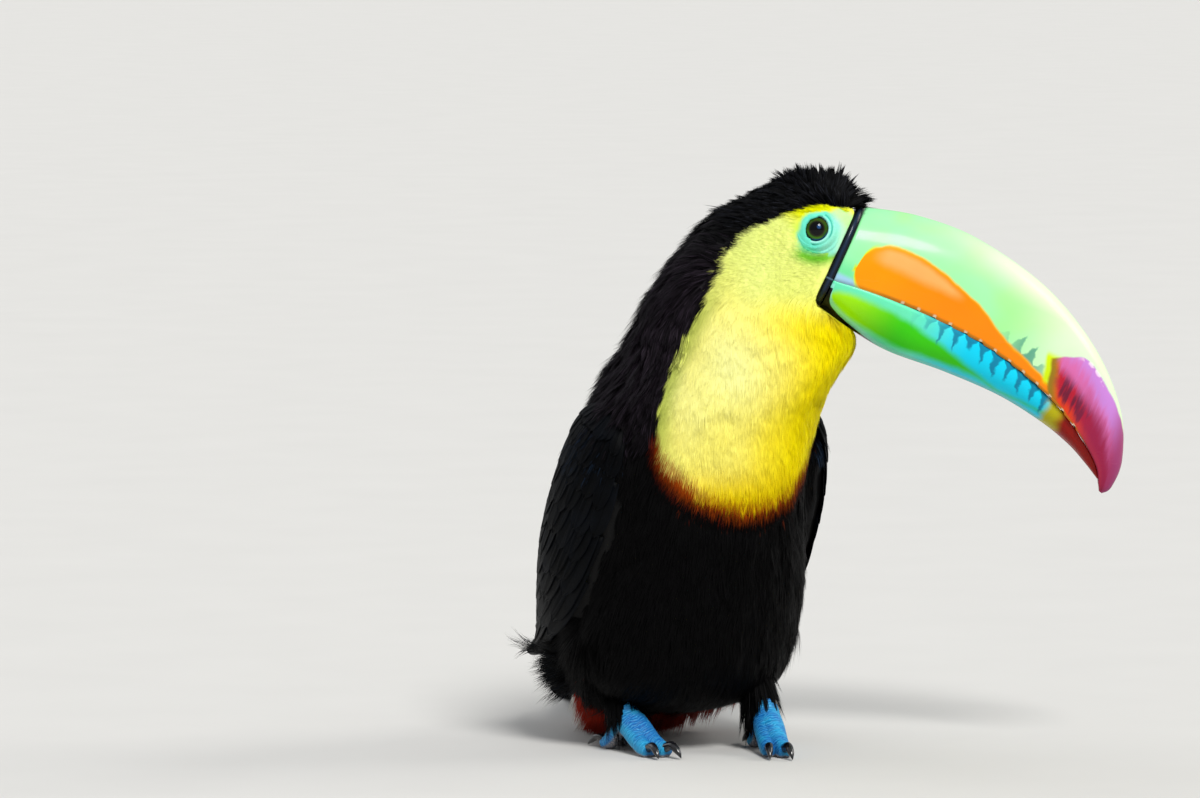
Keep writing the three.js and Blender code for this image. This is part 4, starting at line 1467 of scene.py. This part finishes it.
def flames(along, height, base, first, reach, lean, thick):
    # row of dark uneven tongues that hang from a line, each broad where it starts
    tall = abs(height - base)
    uneven = (noise(along.tree, 210, 4) - 0.5) * (tall * 0.55 + 2.0)
    cell = (along - first - tall * lean + uneven) / billPlan["flamePitch"]
    chance = addNode(along.tree, "TexWhiteNoise", {"W": cell.calc("FLOOR")}, noise_dimensions="1D")
    middle = abs(cell.calc("FRACT") - 0.5)
    part = (tall / between(chance, 0.55 * reach, 1.1 * reach)).calc("MINIMUM", 1.0).calc("POWER", 1.3)
    wide = (1.0 - part) * thick + step(tall, 2.4, 0.4) * 0.22
    return step(wide - middle, -0.09, 0.07) * step(part, 1.0, 0.6)


def paintBlaze(x, z, under):
    peach = band(under, 1.8, 40, 1.4) * step(z, 12.0, 17.0) * band(x, 12, 48, 4)
    return mixTones(billTones["orange"], billTones, (
        ("deepOrange", step(x, 10, 50)),
        ("peach", peach * 0.85),
        ("amber", step(under, 1.2, 0.0) * 0.6),
    ))


def paintTip(x, rise, rearward, beyond):
    # magenta and violet toward the ridge, red at the edge, dark blots between and painted highlight specks
    # at its border
    spread = addNode(x.tree, "CombineXYZ", {0: x * 0.55, 1: rise * 2.2})
    streaks = addNode(x.tree, "TexNoise", {"Vector": spread, "Scale": 1.0, "Detail": 4})
    blots = noise(x.tree, 200, 4)
    uneven = rise + (streaks - 0.5) * 0.35
    dark = band(uneven, 0.14, 0.46, 0.09) * step(streaks, 0.42, 0.60) * band(x, 99, 117, 3)
    inner = (step(x, 106, 122) * step(uneven, 0.72, 0.40)).calc("MAXIMUM", step(x, 122, 134))
    glintSpecks = step(beyond, 1.8, 0.6) * step(blots, 0.50, 0.60) * band(x, 104, 124, 3)
    return mixTones(billTones["crimson"], billTones, (
        # the magenta and violet toward the ridge are partly the tip's own colour and partly a painted sky
        # reflection
        ("magenta", step(uneven, 0.30, 0.52)),
        ("violet", step(uneven, 0.52, 0.80)),
        ("brightRed", step(rise, 0.24, 0.06)),
        ("maroon", dark * 0.85),
        ("plum", inner * 0.85),
        ("ember", step(rearward, 5, 1.5) * step(blots, 0.42, 0.62)),
        ("olive", step(rearward, 4.5, 0.8)),
        ("tipGlint", glintSpecks * 0.8),
    ))


def paintUpper(tree):
    x, z, rise, shift = billPlaces(tree)
    # pale cream toward the ridge and the front, partly the bill's own colour and partly a painted highlight
    creamAndHighlight = (step(rise, 0.60, 1.0) * step(x, 15, 75) * 0.8).calc("MAXIMUM", step(x, 68, 96) * 0.6)
    flameBase = drawnLine(x, billPlan["flameBase"], -5, 25)
    tongues = flames(x, z, flameBase, 61.5, 9.5, 0.25, 0.36)
    tongues = tongues * band(x, 74, 92, 9) * step(z - flameBase, -1, 1)
    # how far inside the orange blaze a place is: under its top line, over its lower line, before its rear
    under = drawnLine(x, billPlan["blazeTop"], -16, 26) - z + shift
    inside = under.calc("MINIMUM", z - drawnLine(x, billPlan["blazeBottom"], -42, 10) + shift)
    inside = inside.calc("MINIMUM", (x - 5.2) * 2.0)
    # the tip: before its rear edge, and under its top line
    rearward = x - drawnLine(z, billPlan["tipRear"], 80, 125) + shift
    beyond = rearward.calc("MINIMUM", drawnLine(x, billPlan["tipTop"], -10, 16) - z + shift)
    curl = step(rearward, -3.6, -1.6) * step(z, 11.5, 8.5) * step(z, -3, 0) * step(rearward, 5, 2.5)
    # painted highlights on the corner of each tooth along the cutting edge
    tooth = ((x - billPlan["firstTooth"]) / billPlan["toothPitch"]).calc("FRACT")
    corner = band(tooth, 0.78, 0.97, 0.05) * step(rise, 0.045, 0.015) * band(x, 27, 118, 1)
    return mixTones(billTones["mint"], billTones, (
        ("paleMint", step(x, 0, 35)),
        ("lime", step(noise(tree, 30, 2), 0.42, 0.62) * 0.6),
        ("creamAndHighlight", creamAndHighlight),
        ("teal", tongues * 0.85),
        ("gapeGreen", step(z, 12, 5) * step(x, 9, 3) * 0.6),
        ("lavender", step(z, 4.8, 2.4) * step(x, 11, 8)),
        ("limeEdge", step(inside, -2.4, -0.3) * step(x, 12, 7)),
        (paintBlaze(x, z + shift, under), step(inside, -0.9, 0.5)),
        ("limeEdge", curl),
        (paintTip(x, rise, rearward, beyond), step(beyond, -0.9, 0.6)),
        ("lip", step(rise, 0.05, 0.02) * step(x, 14, 24) * step(x, 125, 100)),
        ("toothGlint", corner * 0.85),
    ))


def paintLower(tree):
    x, z, rise, shift = billPlaces(tree)
    within = drawnLine(x, billPlan["grassTop"], -16, 0) - z
    within = within.calc("MINIMUM", z - drawnLine(x, billPlan["grassLow"], -16, 0)) + shift
    tongues = flames(x, z, drawnLine(x, billPlan["lowerFlameBase"], -20, 6), 31.5, 10.0, 0.12, 0.22)
    tongues = tongues * (step(x, 30, 52) * step(x, 106, 98))
    toTip = x + shift * 2.5
    overRoot = z - drawnLine(x, billPlan["lowerRoot"], -20, 0)
    return mixTones(billTones["aqua"], billTones, (
        ("cyan", step(x, 30, 62)),
        (mix(billTones["leaf"], billTones["green"], step(x, 5, 34)), step(within, -1.8, 1.8)),
        ("darkTeal", tongues * 0.8),
        ("edgeTeal", step(rise, 0.86, 1.0) * 0.7),
        ("lowOlive", step(toTip, 97, 101)),
        ("red", step(toTip, 103, 109)),
        ("rootCyan", step(overRoot, 2.6, 1.2) * step(x, 34, 16) * 0.75),
        ("black", step(overRoot, 0.25, -0.25) * step(x, 30, 27)),
    ))


def paintBand(tree):
    # black, with a painted steel-blue sheen down its middle and a thin pale notch at the corner of the mouth
    x, z, _, shift = billPlaces(tree)
    return mixTones(billTones["bandBlack"], billTones, (
        ("steelSheen", band(x + shift * 0.4, -3.0, -1.9, 0.5) * 0.7),
        ("notch", band(z, -0.25, 0.35, 0.25) * 0.8),
    ))


def makeBand():
    rings = []
    for part in np.linspace(0, 1, 9):
        grow = bandPlan["bulge"] * math.sin(math.pi * part) - 0.1
        x = -bandPlan["width"] - 0.6 + part * (bandPlan["width"] - 0.4)
        wide = np.array([billPlan["halfWidth"][0] + grow])
        heights = 0.0, billPlan["culmen"][0][1] + grow, billPlan["gonys"][0][1] - grow
        edge, top, low = (np.array([[x, z]]) for z in heights)
        upper, _ = billSection(edge, top, wide, billPlan["upperFullness"], 24)
        lower, _ = billSection(edge, low, wide, billPlan["lowerFullness"], 24)
        rings.append(np.concatenate((upper[0], lower[0][::-1][1:-1])))
    rings = np.array(rings)
    rise = np.zeros(rings[..., 0].size + 2)
    billPiece("billBand", rings, rise, "bandHorn", "band_horn", "bill_band")


hornMaterial("upperHorn", paintUpper)
hornMaterial("lowerHorn", paintLower)
hornMaterial("bandHorn", paintBand, 0.3)
makeBillHalf("upper", "upperEdge", "culmen", 1)
makeBillHalf("lower", "lowerEdge", "gonys", -1)
makeBand()
print("bill ready")


eyePlan = {
    "radius": 6.6,
    "cornea": 0.35,
    # degrees that the eye and its lids look forward, and that both look up
    "gazeForward": -9,
    "lidsForward": -16,
    "up": 7,
    "opening": (4.7, 0.45),  # least reach of the lids' opening, and how much more in front
    "creaseAt": 6.6,
    # height of the lids over the eye's middle plane, by the distance from its axis
    "lidProfile": (
        (4.6, 3.9), (4.95, 4.45), (5.3, 4.95), (5.8, 5.05), (6.35, 4.75), (6.8, 4.2), (7.15, 4.25),
        (7.8, 4.35),
        (8.6, 3.9), (12.5, 2.6)),
    "lidSteps": 96,
    "lidRows": 40,
}
eyeTones = {
    "iris": (0.016, 0.075, 0.002),
    "olive": (0.040, 0.060, 0.002),
    "inner": (0.012, 0.014, 0.002),
    "lit": (0.040, 0.170, 0.003),
    "outer": (0.003, 0.004, 0.006),
    "blue": (0.010, 0.075, 0.20),
    "pupil": (0.001, 0.001, 0.0015),
    "gleam": (0.015, 0.060, 0.17),
}


def eyeAxes(side, forward):
    # the ways that the eye looks, forward round it and up round it
    forward, up = math.radians(forward), math.radians(eyePlan["up"])
    look = unit(np.array((math.sin(forward), side * math.cos(forward) * math.cos(up), math.sin(up))))
    front = unit(np.array((1, 0, 0)) - look * look[0])
    return look @ headAxes.T, front @ headAxes.T, np.cross(front, look) @ headAxes.T * side


def eyeMaterial():
    tree = newMaterial("eyeGlobe")
    reach, place = mark(tree, "fromPupil"), mark(tree, "irisPlace", "Vector")
    ahead, up, _ = (Wire(socket) for socket in newNode(tree, "SeparateXYZ", {0: place}).outputs)
    gleam = addNode(tree, "VectorMath", {0: place, 1: (0.55, 0.95, 6.7)}, "Value", operation="DISTANCE")
    streak = noise(tree, 700, 3)
    colour = mixTones(eyeTones["iris"], eyeTones, (
        ("olive", step(streak, 0.35, 0.65)),
        ("inner", step(reach, 3.5, 2.9)),
        # painted light on the lower part of the iris
        ("lit", step(up, -1.0, -3.0) * step(reach, 4.3, 3.9) * step(reach, 3.2, 3.7)),
        ("outer", step(reach, 4.2, 4.6)),
        # crescent low in front
        ("blue", step(ahead * 0.75 - up * 0.65, 2.2, 3.8) * step(reach, 3.9, 4.4)),
        ("pupil", step(reach, 2.85, 2.6)),
        # a painted blue reflection on the pupil
        ("gleam", step(gleam, 1.1, 0.5)),
    ))
    rough = between(streak, 0.02, 0.05)
    setShader(tree, {"Base Color": colour, "Roughness": rough, "Specular IOR Level": 0.22})


def makeEye(name, side):
    centre, radius, cornea = eyeCentre(side), eyePlan["radius"], eyePlan["cornea"]
    look, front, up = eyeAxes(side, eyePlan["gazeForward"])
    tilt = np.radians(np.linspace(0, 180, 49)[1:-1])[:, None, None]
    turn = side * np.radians(np.arange(64) * 360 / 64)[None, :, None]
    sideways = front * np.cos(turn) + up * np.sin(turn)
    bulging = radius + cornea * hump(tilt, 0, 0.5)
    points, faces = closedLoft(centre + bulging * (look * np.cos(tilt) + sideways * np.sin(tilt)))
    points[-2:] = centre + look * (radius + cornea), centre - look * radius
    away = points - centre
    depth = away @ look
    reach = np.where(depth > 0, np.linalg.norm(away - depth[:, None] * look, axis=1), 9)
    newPiece(f"eyeball_{name}", points, faces, "eyeGlobe", "eye", [f"eye_{name}"], {
        "fromPupil": reach, "irisPlace": np.stack((away @ front, away @ up, depth), 1)})


def lidMaterial():
    tree = newMaterial("orbitalSkin")
    grain = noise(tree, 1400, 3)
    setShader(tree, {
        "Base Color": scaled(mark(tree, "skinTone", "Color"), between(grain, 0.86, 1.14)),
        "Roughness": between(grain, 0.35, 0.55), "Specular IOR Level": 0.2, "Subsurface Weight": 0.12,
        "Subsurface Radius": (0.6, 0.9, 0.8), "Subsurface Scale": 0.001,
        "Normal": relief(texture(tree, "Voronoi", {"Scale": 1500}), 0.35, 0.0003)})


def makeLids(name, side):
    # the lid ring with its creases, running out into the naked skin that lies on the head
    centre = eyeCentre(side)
    look, front, up = eyeAxes(side, eyePlan["lidsForward"])
    around, rows = eyePlan["lidSteps"], eyePlan["lidRows"]
    turn = side * np.radians(np.arange(around) * 360 / around)
    limit = fromTable(markings["naked"], np.degrees(turn) % 360) + 0.9
    opening = changing(eyePlan["opening"], np.maximum(0, np.cos(turn + 0.6)))
    reach = opening + np.linspace(0, 1, rows)[:, None] ** 1.25 * (limit - opening)
    sideways = front * np.cos(turn)[:, None] + up * np.sin(turn)[:, None]
    flat = centre + sideways[None] * reach[..., None]
    hits = [skinTree.ray_cast(Vector(p + look * 14), Vector(-look), 30)[3] for p in flat.reshape(-1, 3)]
    lying = np.array([0.0 if hit is None else 14 - hit for hit in hits]).reshape(reach.shape)
    onto = smooth(reach, 6.9, 9.0)
    sunk = smooth(reach / limit, 0.86, 1.0) * 0.9
    fold = 0.10 * np.sin(reach * 4.2 + 1.2 * np.sin(turn * 2)) * smooth(reach, 7, 8.5)
    height = fromTable(eyePlan["lidProfile"], reach) * (1 - onto) + (lying + 0.35) * onto + fold - sunk
    height = height + np.maximum(0, lying + 0.2 - 1.1 * sunk - height) * smooth(reach, 6.3, 7.6)
    points = (flat + look * height[..., None]).reshape(-1, 3)
    points = points - headAxes[:, 0] * np.maximum(0, toHead(points)[:, :1] + 4.4)
    reach, angle, inner = reach.ravel(), np.tile(turn, rows), (reach - opening).ravel()
    creased = np.maximum(smooth(np.cos(angle - 0.7), 0.45, 0.8), smooth(np.cos(angle - 3.9), 0.1, 0.5))
    colour = layered(nakedSkinColour(points), (
        ("rim", smooth(-reach, -6.2, -5.8) * (0.65 + 0.35 * np.cos(angle + 0.5))),
        # painted shade in the crease of the lid ring and at the edge of its opening
        ("creaseShade", hump(reach, eyePlan["creaseAt"], 0.26) * creased),
        ("openingShade", smooth(-inner, -0.32, -0.1)),
    ))
    newPiece(f"orbitalSkin_{name}", points, [ringFaces(rows, around)], "orbitalSkin", "bare_skin",
             [f"eyelid_{name}"], {"skinTone": colour})


eyeMaterial()
lidMaterial()
for sideName, sideSign in sides:
    makeEye(sideName, sideSign)
    makeLids(sideName, sideSign)
print("eyes ready")


footPlan = {
    "jointHeight": 14.5,
    "feet": (("right", -32, 9, 0), ("left", 18, -17, -22)),  # toe joint and heading of the middle toe
    # heading, length and thickness of each toe
    "toes": (
        ("inner", -6, 22, 3.5), ("outer", 9, 25.5, 3.7), ("back_inner", 196, 13, 2.9),
        ("back_outer", 158, 19, 3.1)),
    "claw": 9,
    "sink": 1,
    "tarsus": (0, 12, 24.8),
    "tarsusRadii": (5.4, 4.0, 4.4),
    "scutePitch": 2.1,
    "scuteHeight": 0.30,
    "pebbleHeight": 0.10,
    "padHeight": 0.55,
}
footTones = {
    "blue": (0.002, 0.14, 0.46),
    "paleBlue": (0.010, 0.33, 0.62),
    "ridge": (0.11, 0.50, 0.78),
    "valley": (0.001, 0.045, 0.20),
    "groove": (0.002, 0.05, 0.18),
    "sole": (0.12, 0.14, 0.18),
    "paleSole": (0.34, 0.31, 0.31),
    "claw": (0.002, 0.002, 0.003),
    "paleClaw": (0.012, 0.012, 0.016),
}


def tubeRings(path, around, upward):
    # round rings along a path, and how far each point of a ring lies toward the top
    along = unit(np.gradient(path, axis=0))
    side = unit(np.cross(along, np.array(upward, float)))
    top = np.cross(side, along)
    angle = np.arange(around) * 2 * math.pi / around
    ring = top[:, None] * np.cos(angle)[None, :, None] + side[:, None] * np.sin(angle)[None, :, None]
    return ring, np.tile(np.cos(angle), (len(path), 1))


def scaledTube(path, radii, around, upward=(0, 0, 1), pads=0):
    # a leg or toe: broad overlapping scutes on top, a net of small scales and pads below
    ring, top = tubeRings(path, around, upward)
    length = runLength(path)[:, None]
    scute = (length / footPlan["scutePitch"] + 0.12 * top) % 1
    upper = smooth(top, -0.25, 0.35)
    bump = (footPlan["scuteHeight"] * scute ** 0.6 - 0.22) * upper
    pebble = footPlan["pebbleHeight"] * np.sin(length * 4.2) * np.sin(top * 9) * (1 - upper)
    pad = np.maximum(0, np.sin(math.pi * pads * length / length[-1])) * smooth(-top, 0.1, 0.8)
    rings = path[:, None] + ring * (radii[:, None] + bump + pebble + footPlan["padHeight"] * pad)[..., None]
    rings[..., 2] = np.maximum(rings[..., 2], 0.02)
    points, faces = closedLoft(rings)
    marks = {
        "groove": hump(np.minimum(scute, 1 - scute), 0, 0.12) * upper,
        "topSide": top,
        "alongToe": np.broadcast_to(length, top.shape),
    }
    return points, faces, {key: np.append(value.ravel(), (0, 0)) for key, value in marks.items()}


def toePath(toe, foot):
    _, turn, length, radius = toe
    _, x, y, footTurn = foot
    onFloor = radius - footPlan["sink"]
    turn = math.radians(footTurn + turn)
    way = np.array((math.sin(turn), -math.cos(turn), 0))
    joint = np.array((x, y, footPlan["jointHeight"] - 0.5))
    rows = [joint] + [joint + way * part * length for part in (0.3, 0.62, 1)]
    for row, height in zip(rows[1:], (onFloor + 7.2, onFloor + 2.6, onFloor - 0.2)):
        row[2] = height
    t = np.linspace(0, 1, 60)
    return through(rows, t), through((radius + 2.0, radius + 1.6, radius + 0.5, radius * 0.75), t), way


def footMaterial():
    # blue skin with fine pale wavy ridges of painted highlight, dark grooves and a grey sole
    tree = newMaterial("footSkin")
    grain = noise(tree, 320, 4)
    cells = texture(tree, "Voronoi", {"Scale": 900}, feature="DISTANCE_TO_EDGE")
    wave = mark(tree, "alongToe") / 1.1 + grain * 3.4
    ridge = abs(wave.calc("FRACT") - 0.5)
    blue = mixTones(footTones["blue"], footTones, (
        ("paleBlue", step(noise(tree, 110, 2), 0.38, 0.62)),
        # the pale ridges are a painted highlight
        ("ridge", step(ridge, 0.30, 0.46) * 0.55),
        ("valley", step(ridge, 0.14, 0.0) * 0.5),
        ("groove", mark(tree, "groove") * 0.45),
    ))
    sole = mix(footTones["sole"], footTones["paleSole"], step(cells, 0.0, 0.25))
    setShader(tree, {
        "Base Color": mix(sole, blue, step(mark(tree, "topSide"), -0.7, -0.35)),
        "Roughness": between(grain, 0.38, 0.6), "Specular IOR Level": 0.3,
        "Normal": relief(cells + ridge, 0.5, 0.0004)})


def paintClaw(tree):
    return mix(footTones["claw"], footTones["paleClaw"], step(noise(tree, 500, 3), 0.35, 0.7))


def makeFoot(foot):
    tubes = [scaledTube(*toePath(toe, foot)[:2], 28, pads=3) for toe in footPlan["toes"]]
    joint = np.array((foot[1], foot[2], footPlan["jointHeight"]))
    s = np.linspace(0, 1, 50)
    path = joint + np.outer(s, footPlan["tarsus"]) + np.outer((1 - s) ** 3, (0, -1.2, -0.6))
    tubes.append(scaledTube(path, through(footPlan["tarsusRadii"], s), 32, upward=(0, -1, 0)))
    points, faces, marks = joined(tubes)
    newPiece(f"foot_skin_{foot[0]}", points, faces, "footSkin", "foot_skin", [f"foot_{foot[0]}"], marks)


def makeClaws(foot):
    for toe in footPlan["toes"]:
        name, _, _, radius = toe
        path, _, way = toePath(toe, foot)
        length = footPlan["claw"]
        stations = (-1, radius), (0.35 * length, radius + 1.3), (0.75 * length, radius - 0.6), (length, 0.7)
        rows = [path[-1] * (1, 1, 0) + way * ahead + np.array((0, 0, height)) for ahead, height in stations]
        s = np.linspace(0, 1, 30)
        radii = through((0.62 * radius, 0.55 * radius, 0.4 * radius, 0.35), s)
        radii = radii * np.sqrt(np.maximum(0.02, 1 - s ** 8))
        spine = through(rows, s)
        ring, top = tubeRings(spine, 20, (0, 0, 1))
        rings = spine[:, None] + ring * (radii[:, None] * (1 - 0.12 * (1 - top)))[..., None]
        node = f"claw_{name}_{foot[0]}"
        newPiece(f"{node}_horn", *closedLoft(rings), "clawHorn", "claw_horn", [node])


footMaterial()
hornMaterial("clawHorn", paintClaw, 0.3, 0.2, specular=0.5, coat=0.5)
for foot in footPlan["feet"]:
    makeFoot(foot)
    makeClaws(foot)
print("feet ready")
